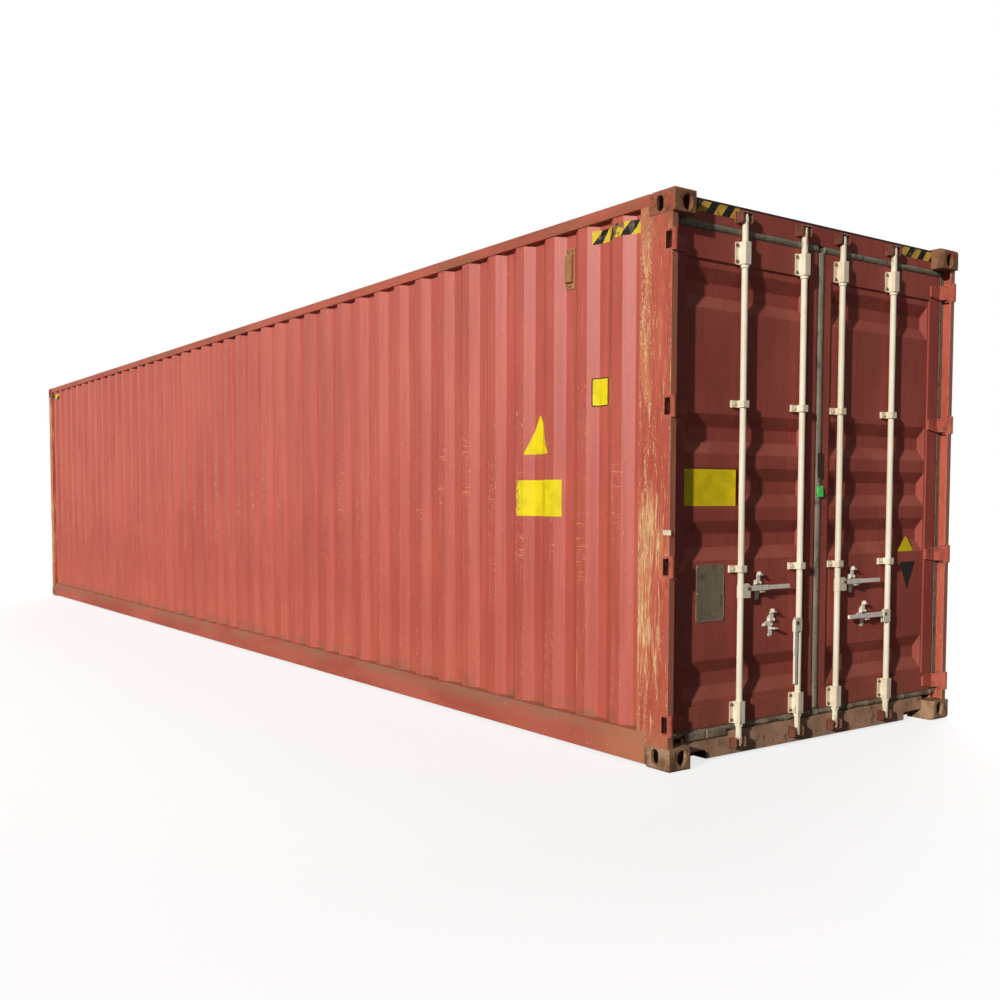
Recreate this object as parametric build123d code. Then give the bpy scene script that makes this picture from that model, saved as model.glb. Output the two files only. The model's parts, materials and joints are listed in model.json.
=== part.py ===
from build123d import *
import math
import os

# Forty-foot high-cube freight container, doors at +X, +Z up
# The origin is the middle of the rectangle that the four bottom corner fittings stand on

# Overall envelope set by the corner fittings
length = 12192.0
width = 2438.0
height = 2896.0

# Corner fittings
fitting_length = 178.0
fitting_width = 162.0
fitting_height = 118.0
fitting_plate = 28.5
fitting_side_wall = 22.0
fitting_inner_wall = 10.0
slot_from_end = 103.5
slot_from_side = 89.5
slot_length = 124.0
slot_width = 63.5
end_hole_width = 63.5
side_hole_width = 51.0
hole_height = 79.5

# How far the structure stays inside the fittings
side_setback = 3.0
top_setback = 6.0
base_clearance = 14.0

# Sheet and plate thicknesses
wall_sheet = 2.0
rail_plate = 3.0
sill_plate = 4.5
post_plate = 6.0
channel_plate = 12.0

# Door end posts
door_post_setback = 18.0
door_post_depth = 154.0
door_post_return = 69.0
door_post_flange = 40.0
door_post_flange_plate = 8.0
door_post_channel_depth = 76.0
door_post_channel_width = 40.0

# Blind end posts
front_post_depth = 120.0
front_post_width = 110.0

# Side rails
top_rail_size = 60.0
bottom_rail_height = 162.0
bottom_rail_flange = 48.0

# Side wall pressings
wall_crest_width = 74.0
wall_slope_width = 66.0
wall_trough_width = 74.0
wall_depth = 36.0
wall_setback = 6.0

# Blind end wall pressings
end_crest_width = 110.0
end_slope_width = 18.0
end_trough_width = 104.0
end_depth = 45.6
end_setback = 8.0

# Blind end header and sill
front_header_height = 70.0
front_header_depth = 60.0
front_sill_height = 150.0
front_sill_depth = 60.0

# Roof pressings
roof_crest_width = 91.0
roof_slope_width = 14.0
roof_trough_width = 90.0
roof_depth = 20.0
roof_clearance = 2.0

# Floor and underframe
floor_board_thickness = 28.0
floor_top_height = 170.0
floor_column_count = 5
floor_row_count = 2
floor_gap = 4.0
member_height = 122.0
member_flange = 45.0
member_plate = 4.0
member_pitch = 308.0
member_end_gap = 24.0
tunnel_length = 3150.0
tunnel_width = 1029.0
tunnel_height = 120.0
tunnel_flange = 30.0

# Door header and sill
header_stop = 30.0
header_stop_depth = 34.0
sill_top_height = 140.0
sill_cutout_length = 185.0
sill_cutout_height = 62.0
sill_stop_depth = 34.0

# Door leaves
door_recess = 80.0
door_frame_depth = 50.0
door_outer_edge_gap = 58.0
door_centre_gap = 48.0
door_bottom_height = 180.0
door_top_gap = 40.0
outer_stile = 100.0
inner_stile = 70.0
top_member = 146.0
bottom_member = 116.0
panel_setback = 10.0
hollow_height = 206.0
hollow_slope_height = 68.0
hollow_end_slope = 26.0
hollow_end_gap = 10.0
hollow_depth = 36.0
hollow_centre_shares = (0.0962, 0.3808, 0.4894, 0.5981, 0.8874)

# Door gaskets
gasket_thickness = 8.0
gasket_setback = 6.0
gasket_side_gap = 5.0
gasket_end_gap = 6.0
gasket_centre_gap = 12.0

# Hinges
hinge_centre_shares = (0.0219, 0.3331, 0.645, 0.9625)
pin_inset_side = 18.0
pin_inset_end = 16.0
pin_radius = 8.0
pin_play = 0.4
knuckle_radius = 15.0
blade_height = 84.0
blade_foot_height = 58.0
blade_thickness = 10.0
blade_foot_length = 90.0
lug_thickness = 12.0
lug_play = 0.5
notch_depth = 46.0

# Locking bars
bar_spread_outer = 647.0
bar_spread_inner = 168.0
bar_radius = 16.85
bar_standoff = 23.0
bar_wall = 3.2
bar_bottom = 60.0
bar_top_gap = 48.0
bar_play = 0.4
bar_resting_degrees = 5.0

# Cams at the bar ends
cam_radius = 18.0
cam_reach = 26.0
cam_height = 36.0
cam_thickness = 22.0
cam_bottom_height = 88.0
cam_top_gap = 76.0

# Cam keepers on the header and sill
keeper_clearance = 6.0
keeper_cheek = 10.0
keeper_reach = 44.0
keeper_web = 8.0
keeper_flange = 12.0
keeper_flange_plate = 6.0
keeper_corner = 14.0
keeper_edge = 3.0

# Bar brackets and guides
bracket_height = 118.0
bracket_half_width = 52.0
bracket_corner = 8.0
bracket_plate = 4.0
collar_radius = 22.0
collar_height = 16.0
collar_gap = 1.0
bracket_wall = 7.0
housing_corner = 6.0
bracket_bottom_gap = 59.0
bracket_top_gap = 88.0
guide_height = 37.0
guide_tab = 40.0
guide_tab_lift = 6.0
guide_centre_shares = (0.3217, 0.6603)

# Handles
handle_upper = 897.0
handle_lower = 690.0
handle_length = 340.0
handle_width = 28.0
handle_thickness = 12.0
handle_offset = 9.0
handle_grip_share = 0.5
handle_grip_width = 22.0
handle_eye_radius = 17.0
handle_pivot = 41.0
handle_pin_radius = 6.0
handle_play = 0.4
hub_radius = 20.0
hub_drop = 50.0
hub_reach = 58.0
hub_cheek = 4.0

# Handle retainers and latches
retainer_upper = 160.0
retainer_lower = 206.0
retainer_plate = 5.0
retainer_half_width = 22.0
retainer_flare = 62.0
retainer_foot = 9.0
retainer_low_step = 3.0
retainer_high_step = 19.0
retainer_rise = 40.0
hook_width = 30.0
hook_drop = 46.0
hook_plate = 7.0
hook_reach = 40.0
hook_gap = 4.0
latch_width = 28.0
latch_pin_radius = 3.5
latch_pin_rise = 24.0
latch_pin_standoff = 13.0
latch_plate_thickness = 5.0
latch_arm = 46.0
latch_reach = 26.0
latch_hub_radius = 6.0
latch_knob_radius = 8.0
latch_knob_height = 12.0
ear_thickness = 4.0
ear_gap = 1.0
ear_radius = 9.0

# Ventilators
vent_width = 72.0
vent_height = 222.0
vent_depth = 24.0
vent_flange = 5.0
vent_margin = 8.0
vent_hood_low = 30.0
vent_hood_high = 32.0
vent_wave_count = 2
vent_top_gap = 259.0

# Overrun for cuts that leave a piece
overrun = 5.0

# Planes that several pieces share
end_x = length / 2
side_y = width / 2
structure_y = side_y - side_setback
structure_top = height - top_setback
door_post_front = end_x - door_post_setback
door_post_rear = door_post_front - door_post_depth
door_post_edge = door_post_rear - door_post_return
channel_front = door_post_rear + door_post_channel_depth
channel_inner_y = structure_y - post_plate - door_post_channel_width
front_post_rear = front_post_depth - end_x
leaf_face = end_x - door_recess
leaf_back = leaf_face - door_frame_depth
leaf_outer = structure_y - post_plate - door_outer_edge_gap
leaf_inner = door_centre_gap / 2
panel_face = leaf_face - panel_setback
pin_x = end_x - pin_inset_end
pin_y = side_y - pin_inset_side
bar_x = leaf_face + bar_standoff
floor_top = floor_top_height
floor_bottom = floor_top - floor_board_thickness
sill_top = sill_top_height
header_bottom = height - fitting_height
door_bottom = door_bottom_height
door_top = header_bottom - door_top_gap
leaf_height = door_top - door_bottom
hinge_centres = [door_bottom + share * leaf_height for share in hinge_centre_shares]
guide_centres = [door_bottom + share * leaf_height for share in guide_centre_shares]
bracket_centres = (door_bottom + bracket_bottom_gap, door_top - bracket_top_gap)
bar_top = height - bar_top_gap
cam_bottom = cam_bottom_height
cam_top = height - cam_top_gap
vent_centre = height - vent_top_gap
rail_top = base_clearance + bottom_rail_height
wall_top = structure_top - top_rail_size
wall_y = structure_y - wall_setback


def block(x0, x1, y0, y1, z0, z1):
    """A box between two corners, whichever way round they are given."""
    size = (abs(x1 - x0), abs(y1 - y0), abs(z1 - z0))
    return Pos((x0 + x1) / 2, (y0 + y1) / 2, (z0 + z1) / 2) * Box(*size)


def upright(x, y, radius, z0, z1):
    """A vertical round bar."""
    return Pos(x, y, (z0 + z1) / 2) * Cylinder(radius, z1 - z0)


def round_along_x(y, z, radius, x0, x1):
    """A round bar along the length."""
    turned = Rot(0, 90, 0) * Cylinder(radius, abs(x1 - x0))
    return Pos((x0 + x1) / 2, y, z) * turned


def round_along_y(x, z, radius, y0, y1):
    """A round bar along the width."""
    turned = Rot(90, 0, 0) * Cylinder(radius, abs(y1 - y0))
    return Pos(x, (y0 + y1) / 2, z) * turned


def drawn(points, direction):
    """A prism: a closed outline of points pushed along a direction."""
    outline = Face(Wire.make_polygon([Vector(*point) for point in points]))
    return Solid.extrude(outline, Vector(*direction))


def save(name, solids):
    """Write one sub-part, with each of its solids kept apart."""
    kept = []
    for solid in solids:
        kept.extend(solid.solids())
    export_step(Compound(children=kept), "parts/" + name + ".step")


def mirrored(solids):
    """The same pieces on the other side of the container."""
    return [mirror(solid, about=Plane.XZ) for solid in solids]


def stadium(span, across, depth):
    """A slot with round ends, along X, standing on end."""
    return extrude(SlotOverall(span, across), depth)


# Corner fittings

def fitting(sign_x, sign_y, top):
    """A hollow steel casting with a slot in its plate and holes in its outer end and side."""
    plate_z = height if top else 0.0
    far_z = height - fitting_height if top else fitting_height
    inward = -1 if top else 1
    out_x = sign_x * end_x
    out_y = sign_y * side_y
    in_x = out_x - sign_x * fitting_length
    in_y = out_y - sign_y * fitting_width
    body = block(out_x, in_x, out_y, in_y, plate_z, far_z)
    cavity = block(
        out_x - sign_x * fitting_side_wall,
        in_x + sign_x * fitting_inner_wall,
        out_y - sign_y * fitting_side_wall,
        in_y + sign_y * fitting_inner_wall,
        plate_z + inward * fitting_plate,
        far_z - inward * fitting_inner_wall,
    )
    slot_x = sign_x * (end_x - slot_from_end)
    slot_y = sign_y * (side_y - slot_from_side)
    hole_z = plate_z + inward * (fitting_plate + hole_height / 2)
    slot = Pos(slot_x, slot_y, min(plate_z, plate_z + inward * (fitting_plate + overrun)))
    slot = slot * stadium(slot_length, slot_width, fitting_plate + overrun)
    end_hole = Rot(0, 90, 0) * stadium(hole_height, end_hole_width, fitting_side_wall + overrun)
    end_from = min(out_x, out_x - sign_x * (fitting_side_wall + overrun))
    end_hole = Pos(end_from, slot_y, hole_z) * end_hole
    side_hole = Rot(90, 0, 0) * Rot(0, 0, 90) * stadium(hole_height, side_hole_width, fitting_side_wall + overrun)
    side_from = max(out_y, out_y - sign_y * (fitting_side_wall + overrun))
    side_hole = Pos(slot_x, side_from, hole_z) * side_hole
    return body - cavity - slot - end_hole - side_hole


def fittings(top):
    pieces = []
    for sign_x in (-1, 1):
        for sign_y in (-1, 1):
            pieces.append(fitting(sign_x, sign_y, top))
    return pieces


# Corner posts

def door_post():
    """The right door post: a pressed plate folded at both edges, closed by a channel."""
    z0 = fitting_height
    z1 = height - fitting_height
    plate_inner = structure_y - post_plate
    wall_inner = wall_y - wall_depth - wall_sheet
    middle = end_x - fitting_length
    post = block(middle, door_post_front, plate_inner, structure_y, z0, z1)
    post += block(middle, door_post_rear, wall_inner, wall_inner + post_plate, z0, z1)
    post += block(door_post_edge, middle, plate_inner, structure_y, rail_top, wall_top)
    post += block(door_post_edge, middle, wall_inner, wall_inner + post_plate, rail_top, wall_top)
    return_end = door_post_edge + post_plate
    post += block(door_post_edge, return_end, wall_inner, plate_inner, rail_top, wall_top)
    flange_back = door_post_front - door_post_flange_plate
    post += block(flange_back, door_post_front, structure_y - door_post_flange, structure_y, z0, z1)
    post += block(door_post_rear, channel_front, channel_inner_y, plate_inner, z0, z1)
    post -= block(
        door_post_rear + channel_plate,
        channel_front - channel_plate,
        channel_inner_y + channel_plate,
        plate_inner,
        z0,
        z1,
    )
    notch_back = door_post_front - notch_depth
    for centre in hinge_centres:
        half = blade_height / 2 + lug_play + lug_thickness
        post -= block(
            notch_back,
            end_x,
            structure_y - door_post_flange - overrun,
            side_y,
            centre - half,
            centre + half,
        )
    return post


def front_post(sign):
    """A blind end post: a hollow pressed section."""
    z0 = fitting_height
    z1 = height - fitting_height
    x0 = end_setback / 2 - end_x
    y1 = structure_y
    y0 = structure_y - front_post_width
    post = block(x0, front_post_rear, sign * y0, sign * y1, z0, z1)
    bore = block(
        x0 + post_plate,
        front_post_rear - post_plate,
        sign * (y0 + post_plate),
        sign * (y1 - post_plate),
        z0,
        z1,
    )
    return post - bore


# Rails

def top_rail(sign):
    """A square tube between the top fittings."""
    x1 = end_x - fitting_length
    z0 = wall_top
    z1 = structure_top
    y1 = sign * structure_y
    y0 = sign * (structure_y - top_rail_size)
    tube = block(-x1, x1, y0, y1, z0, z1)
    bore = block(
        -x1,
        x1,
        sign * (structure_y - top_rail_size + rail_plate),
        sign * (structure_y - rail_plate),
        z0 + rail_plate,
        z1 - rail_plate,
    )
    return tube - bore


def bottom_rail(sign):
    """A channel between the bottom fittings, open towards the middle."""
    x1 = end_x - fitting_length
    y1 = structure_y
    y0 = structure_y - bottom_rail_flange
    rail = block(-x1, x1, sign * y0, sign * y1, base_clearance, rail_top)
    hollow = block(
        -x1,
        x1,
        sign * (y0 - overrun),
        sign * (y1 - sill_plate),
        base_clearance + sill_plate,
        rail_top - sill_plate,
    )
    return rail - hollow


# Pressed sheets

def trimmed(sheet):
    """A sheet cut away where the four top fittings stand."""
    for sign_x in (-1, 1):
        for sign_y in (-1, 1):
            sheet -= block(
                sign_x * (end_x - fitting_length),
                sign_x * end_x,
                sign_y * (side_y - fitting_width),
                sign_y * side_y,
                height - fitting_height,
                height,
            )
    return sheet


def wave_row(low, high, crest, slope, trough):
    """The start, pitch and number of the waves that fit a sheet, centred between its ends."""
    pitch = crest + slope + trough + slope
    count = int((high - low + trough) // pitch)
    first = (low + high + trough - count * pitch) / 2
    return first, pitch, count


def waves(low, high, crest, slope, trough, depth):
    """Points along a pressed sheet from end to end, as distance and depth, at trough level at both ends."""
    first, pitch, count = wave_row(low, high, crest, slope, trough)
    points = [(low, depth)]
    for number in range(count):
        start = first + number * pitch
        points.append((start, depth))
        points.append((start + slope, 0.0))
        points.append((start + slope + crest, 0.0))
        points.append((start + slope + crest + slope, depth))
    points.append((high, depth))
    return points


def side_wall(sign):
    """A side wall of upright pressings between the posts."""
    widths = (wall_crest_width, wall_slope_width, wall_trough_width)
    line = waves(front_post_rear, door_post_edge, *widths, wall_depth)
    outer = [(x, sign * (wall_y - deep), rail_top) for x, deep in line]
    inner = [(x, sign * (wall_y - deep - wall_sheet), rail_top) for x, deep in line]
    return trimmed(drawn(outer + inner[::-1], (0, 0, wall_top - rail_top)))


def front_wall():
    """The blind end wall of upright pressings."""
    half = structure_y - front_post_width
    line = waves(-half, half, end_crest_width, end_slope_width, end_trough_width, end_depth)
    face = end_setback - end_x
    z0 = base_clearance + front_sill_height
    z1 = structure_top - front_header_height
    outer = [(face + deep, y, z0) for y, deep in line]
    inner = [(face + deep + wall_sheet, y, z0) for y, deep in line]
    return trimmed(drawn(outer + inner[::-1], (0, 0, z1 - z0)))


def roof():
    """The roof sheet with pressings across the container, between the fittings."""
    x0 = fitting_length - end_x
    x1 = door_post_rear
    half = structure_y - top_rail_size
    line = waves(x0, x1, roof_crest_width, roof_slope_width, roof_trough_width, roof_depth)
    face = structure_top - roof_clearance
    outer = [(x, -half, face - deep) for x, deep in line]
    inner = [(x, -half, face - deep - wall_sheet) for x, deep in line]
    return trimmed(drawn(outer + inner[::-1], (0, half + half, 0)))


def roof_end_plate():
    """The flat plate between the blind end header and the first pressing."""
    x0 = end_setback / 2 - end_x + front_header_depth
    half = side_y - fitting_width
    face = structure_top - roof_clearance
    return block(x0, fitting_length - end_x, -half, half, face - wall_sheet, face)


# Ends of the frame

def tube(x0, x1, y0, y1, z0, z1, plate):
    """A rectangular tube across the container, open at both ends."""
    outside = block(x0, x1, y0, y1, z0, z1)
    inside = block(x0 + plate, x1 - plate, y0, y1, z0 + plate, z1 - plate)
    return outside - inside


def front_header():
    half = side_y - fitting_width
    x0 = end_setback / 2 - end_x
    z0 = structure_top - front_header_height
    return tube(x0, x0 + front_header_depth, -half, half, z0, structure_top, rail_plate)


def front_sill():
    """One tube under the blind end wall, from the tunnel to a corner fitting."""
    x0 = end_setback / 2 - end_x
    x1 = x0 + front_sill_depth
    y0 = tunnel_width / 2 + member_plate
    y1 = side_y - fitting_width
    return tube(x0, x1, y0, y1, base_clearance, base_clearance + front_sill_height, sill_plate)


def front_sill_bridge():
    """The shallow tube over the tunnel's mouth, between the two sill tubes."""
    x0 = end_setback / 2 - end_x
    x1 = x0 + front_sill_depth
    half = tunnel_width / 2 + member_plate
    z0 = tunnel_height + member_plate
    return tube(x0, x1, -half, half, z0, base_clearance + front_sill_height, member_plate)


def door_header():
    """The box section over the doors, with a stop for the leaves behind its face."""
    half = side_y - fitting_width
    beam = tube(door_post_rear, leaf_face, -half, half, header_bottom, structure_top, sill_plate)
    stop_front = door_post_rear + header_stop_depth
    return beam + block(
        door_post_rear,
        stop_front,
        -channel_inner_y,
        channel_inner_y,
        header_bottom - header_stop,
        header_bottom,
    )


def door_sill():
    """The box section under the doors, notched at both ends beside the fittings."""
    half = side_y - fitting_width
    beam = tube(door_post_rear, leaf_face, -half, half, base_clearance, sill_top, sill_plate)
    stop_front = door_post_rear + sill_stop_depth
    beam += block(door_post_rear, stop_front, -channel_inner_y, channel_inner_y, sill_top, floor_top)
    for sign in (-1, 1):
        beam -= block(
            door_post_rear + sill_plate,
            leaf_face + overrun,
            sign * (half - sill_cutout_length),
            sign * (half + overrun),
            base_clearance - overrun,
            sill_cutout_height,
        )
    return beam


# Floor and underframe

def floor_boards():
    """Plywood boards in two rows with a narrow joint between them."""
    x0 = end_setback / 2 - end_x + front_sill_depth
    x1 = door_post_rear
    half = wall_y - wall_depth - wall_sheet
    post_y = structure_y - front_post_width
    long = (x1 - x0 - (floor_column_count - 1) * floor_gap) / floor_column_count
    wide = (half + half - (floor_row_count - 1) * floor_gap) / floor_row_count
    boards = []
    for column in range(floor_column_count):
        for row in range(floor_row_count):
            x = x0 + column * (long + floor_gap)
            y = row * (wide + floor_gap) - half
            board = block(x, x + long, y, y + wide, floor_bottom, floor_top)
            for side in (-1, 1):
                board -= block(x0, front_post_rear, side * post_y, side * side_y, floor_bottom, floor_top)
            boards.append(board)
    return boards


def channel(x, y0, y1):
    """A channel across the container, its back towards the blind end."""
    z0 = floor_bottom - member_height
    member = block(x, x + member_flange, y0, y1, z0, floor_bottom)
    return member - block(
        x + member_plate,
        x + member_flange,
        y0,
        y1,
        z0 + member_plate,
        floor_bottom - member_plate,
    )


def member_places():
    """Where the channels stand, split into those over the tunnel and those past it."""
    first = fitting_length + member_end_gap - end_x
    last = end_x - fitting_length - member_end_gap - member_flange
    count = int((last - first) // member_pitch) + 1
    places = [first + number * member_pitch for number in range(count)]
    tunnel_end = tunnel_length - end_x
    over = [x for x in places if x < tunnel_end]
    past = [x for x in places if x >= tunnel_end]
    return over, past


def cross_members():
    """Full channels from rail to rail under the floor."""
    half = structure_y - sill_plate
    return [channel(x, -half, half) for x in member_places()[1]]


def tunnel_outriggers():
    """Short channels from the rails to the sides of the tunnel."""
    half = structure_y - sill_plate
    inner = tunnel_width / 2 + member_plate
    pieces = []
    for x in member_places()[0]:
        pieces.append(channel(x, -half, -inner))
        pieces.append(channel(x, inner, half))
    return pieces


def tunnel_bows():
    """Flat bars across the tunnel's roof that carry the floor."""
    half = tunnel_width / 2 + member_plate
    low = tunnel_height + member_plate
    return [block(x, x + member_flange, -half, half, low, floor_bottom) for x in member_places()[0]]


def gooseneck_tunnel():
    """The top plate of the trough under the blind end for a trailer's neck."""
    x0 = end_setback / 2 - end_x + front_sill_depth
    half = tunnel_width / 2 + member_plate
    return block(x0, tunnel_length - end_x, -half, half, tunnel_height, tunnel_height + member_plate)


def tunnel_side():
    """One upright side of the trough, under the edge of its top plate."""
    x0 = end_setback / 2 - end_x + front_sill_depth
    half = tunnel_width / 2
    return block(x0, tunnel_length - end_x, half, half + member_plate, base_clearance, tunnel_height)


# Ventilators

def ventilator(sign):
    """A hooded cover in a hollow of a side wall, on a flange with room for three screws."""
    widths = (wall_crest_width, wall_slope_width, wall_trough_width)
    first, pitch, count = wave_row(front_post_rear, door_post_edge, *widths)
    number = count - vent_wave_count if sign > 0 else vent_wave_count
    x = first + number * pitch - wall_trough_width / 2
    y0 = -sign * (wall_y - wall_depth)
    y1 = y0 - sign * vent_flange
    y2 = y0 - sign * vent_depth
    half = vent_width / 2
    z0 = vent_centre - vent_height / 2
    z1 = vent_centre + vent_height / 2
    flange = block(x - half, x + half, y0, y1, z0, z1)
    hood_low = z0 + vent_hood_low
    hood_high = z1 - vent_hood_high
    slim = half - vent_margin
    outline = [
        (x - slim, y1, hood_low),
        (x - slim, y1, hood_high),
        (x - slim, y2, hood_high - vent_margin),
        (x - slim, y2, hood_low + vent_margin),
    ]
    return flange + drawn(outline, (slim + slim, 0, 0))


# Hinges

def hinge_pins():
    """Pins with a lug above and below each knuckle, welded into the notches of the right post."""
    pieces = []
    notch_back = door_post_front - notch_depth
    half = blade_height / 2 + lug_play
    for centre in hinge_centres:
        pin = upright(pin_x, pin_y, pin_radius, centre - half - lug_thickness, centre + half + lug_thickness)
        for side in (-1, 1):
            near = centre + side * half
            far = near + side * lug_thickness
            low = min(near, far)
            high = max(near, far)
            pin += upright(pin_x, pin_y, knuckle_radius, low, high)
            pin += block(
                notch_back,
                pin_x,
                pin_y - knuckle_radius,
                structure_y,
                low,
                high,
            )
        pieces.append(pin)
    return pieces


def hinge_blades():
    """Cranked straps from the knuckles on the right post to the face of the right leaf."""
    pieces = []
    foot_outer = leaf_outer - blade_thickness
    foot_inner = foot_outer - blade_foot_length
    foot_front = leaf_face + blade_thickness
    reach_x = pin_x - foot_front
    reach_y = pin_y - foot_outer
    span = math.hypot(reach_x, reach_y)
    shift_x = blade_thickness / 2 * reach_y / span
    shift_y = blade_thickness / 2 * reach_x / span
    for centre in hinge_centres:
        z0 = centre - blade_height / 2
        z1 = centre + blade_height / 2
        outline = [
            (leaf_face, foot_inner, z0),
            (leaf_face, foot_outer + blade_thickness, z0),
            (pin_x - shift_x, pin_y + shift_y, z0),
            (pin_x + shift_x, pin_y - shift_y, z0),
            (foot_front, foot_outer, z0),
            (foot_front, foot_inner, z0),
        ]
        blade = drawn(outline, (0, 0, z1 - z0)) + upright(pin_x, pin_y, knuckle_radius, z0, z1)
        blade -= upright(pin_x, pin_y, pin_radius + pin_play, z0, z1)
        trim = (blade_height - blade_foot_height) / 2
        for side in (-1, 1):
            edge = centre + side * blade_height / 2
            wedge = [
                (leaf_face - overrun, foot_inner - overrun, edge - side * trim),
                (leaf_face - overrun, foot_inner - overrun, edge + side * overrun),
                (leaf_face - overrun, foot_outer, edge + side * overrun),
                (leaf_face - overrun, foot_outer, edge),
            ]
            blade -= drawn(wedge, (blade_thickness + overrun + overrun, 0, 0))
        pieces.append(blade)
    return pieces


# Door leaves

def door_frame():
    """The welded frame of the right leaf."""
    frame = block(leaf_back, leaf_face, leaf_inner, leaf_outer, door_bottom, door_top)
    return frame - block(
        leaf_back - overrun,
        leaf_face + overrun,
        leaf_inner + inner_stile,
        leaf_outer - outer_stile,
        door_bottom + bottom_member,
        door_top - top_member,
    )


def pressing(face, y0, y1, centre, depth):
    """A pocket with sloping sides, widest at the face."""
    half = hollow_height / 2
    mouth = Face(Wire.make_polygon([
        Vector(face, y0, centre - half),
        Vector(face, y1, centre - half),
        Vector(face, y1, centre + half),
        Vector(face, y0, centre + half),
    ]))
    flat = half - hollow_slope_height
    base = Face(Wire.make_polygon([
        Vector(face - depth, y0 + hollow_end_slope, centre - flat),
        Vector(face - depth, y1 - hollow_end_slope, centre - flat),
        Vector(face - depth, y1 - hollow_end_slope, centre + flat),
        Vector(face - depth, y0 + hollow_end_slope, centre + flat),
    ]))
    return loft([mouth, base], ruled=True)


def door_panel():
    """The sheet of the right leaf with its five level pressings."""
    y0 = leaf_inner + inner_stile
    y1 = leaf_outer - outer_stile
    sheet = block(
        panel_face - wall_sheet,
        panel_face,
        y0,
        y1,
        door_bottom + bottom_member,
        door_top - top_member,
    )
    inner = y0 + hollow_end_gap
    outer = y1 - hollow_end_gap
    for share in hollow_centre_shares:
        centre = door_bottom + share * leaf_height
        sheet += pressing(panel_face - wall_sheet, inner, outer, centre, hollow_depth)
    for share in hollow_centre_shares:
        centre = door_bottom + share * leaf_height
        sheet -= pressing(panel_face, inner, outer, centre, hollow_depth)
    return sheet


def door_gasket():
    """The rubber seal round the right leaf."""
    x0 = leaf_face - gasket_setback - gasket_thickness
    x1 = leaf_face - gasket_setback
    ring = block(
        x0,
        x1,
        gasket_centre_gap / 2,
        structure_y - post_plate - gasket_side_gap,
        sill_top + gasket_end_gap,
        header_bottom - gasket_end_gap,
    )
    return ring - block(
        x0 - overrun,
        x1 + overrun,
        leaf_inner,
        leaf_outer,
        door_bottom,
        door_top,
    )


def housing(y, centre, tall, back):
    """A square housing with rounded front corners, standing on the leaf."""
    half = bar_radius + bar_play + bracket_wall
    z0 = centre - tall / 2
    z1 = centre + tall / 2
    body = block(back, bar_x + half, y - half, y + half, z0, z1)
    return fillet(body.edges().filter_by(Axis.Z).sort_by(Axis.X)[-2:], housing_corner)


def bar_hole(y, centre, tall):
    return upright(bar_x, y, bar_radius + bar_play, centre - tall / 2, centre + tall / 2)


def end_bracket(y, centre):
    """A plate with rounded corners and a housing across its middle."""
    outline = RectangleRounded(bracket_height, bracket_half_width + bracket_half_width, bracket_corner)
    plate = Pos(leaf_face, y, centre) * Rot(0, 90, 0) * extrude(outline, bracket_plate)
    bracket = plate + housing(y, centre, bracket_height, leaf_face)
    return bracket - bar_hole(y, centre, bracket_height)


def guide(y, centre):
    """A strap round a bar with one screw tab, on the panel."""
    radius = bar_radius + bar_play + bracket_wall
    half = guide_height / 2
    strap = housing(y, centre, guide_height, panel_face)
    tab_end = y - radius - guide_tab
    tab_face = leaf_face + guide_tab_lift
    strap += block(panel_face, tab_face, tab_end, y, centre - half, centre + half)
    return strap - bar_hole(y, centre, guide_height)


def bar_brackets(places):
    """End brackets and middle guides for the two bars of one leaf."""
    pieces = []
    for y in places:
        for centre in bracket_centres:
            pieces.append(end_bracket(y, centre))
        for centre in guide_centres:
            pieces.append(guide(y, centre))
    return pieces


# Locking bars with their cams and hubs

def cam(y, centre, toward):
    """A forged cam: a round boss with one lobe."""
    z0 = centre - cam_height / 2
    z1 = centre + cam_height / 2
    boss = upright(bar_x, y, cam_radius, z0, z1)
    tip_y = y + toward * (cam_reach - cam_thickness / 2)
    lobe = block(bar_x - cam_thickness / 2, bar_x + cam_thickness / 2, y, tip_y, z0, z1)
    return boss + lobe + upright(bar_x, tip_y, cam_thickness / 2, z0, z1)


def hub(y, level, toward):
    """The forked collar on a bar: two arched cheeks with a pin between them for the handle."""
    low = level - hub_drop
    collar = upright(bar_x, y, hub_radius, low, level + hub_radius)
    pivot_y = y + toward * handle_pivot
    gap = handle_thickness / 2 + handle_play
    middle = bar_x + handle_offset
    for side in (-1, 1):
        near = middle + side * gap
        far = near + side * hub_cheek
        end_y = y + toward * hub_reach
        collar += block(near, far, y, end_y, low, level)
        arch_y = y + toward * hub_reach / 2
        collar += round_along_x(arch_y, level, hub_reach / 2, min(near, far), max(near, far))
    collar += round_along_x(pivot_y, level, handle_pin_radius, middle - gap, middle + gap)
    return collar


def locking_bar(y, level, toward):
    """A locking bar at home: pipe, cams and hub in one welded piece."""
    pipe = upright(bar_x, y, bar_radius, bar_bottom, bar_top)
    pipe += cam(y, cam_bottom, toward)
    pipe += cam(y, cam_top, toward)
    pipe += hub(y, level, toward)
    for centre in bracket_centres:
        high = centre - bracket_height / 2 - collar_gap
        pipe += upright(bar_x, y, collar_radius, high - collar_height, high)
    bore = bar_radius - bar_wall
    return pipe - upright(bar_x, y, bore, bar_bottom, bar_top)


def handle(y, level, toward):
    """A flat handle at home, level beside its bar."""
    pivot_y = y + toward * handle_pivot
    tip_y = pivot_y + toward * handle_length
    grip_y = pivot_y + toward * handle_length * handle_grip_share
    x0 = bar_x + handle_offset - handle_thickness / 2
    x1 = bar_x + handle_offset + handle_thickness / 2
    wide = handle_width / 2
    slim = handle_grip_width / 2
    lever = block(x0, x1, pivot_y, grip_y, level - wide, level + wide)
    lever += block(x0, x1, grip_y, tip_y, level - slim, level + slim)
    lever += round_along_x(pivot_y, level, handle_eye_radius, x0, x1)
    return lever - round_along_x(pivot_y, level, handle_pin_radius + handle_play, x0, x1)


# Retainers and latches

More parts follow.
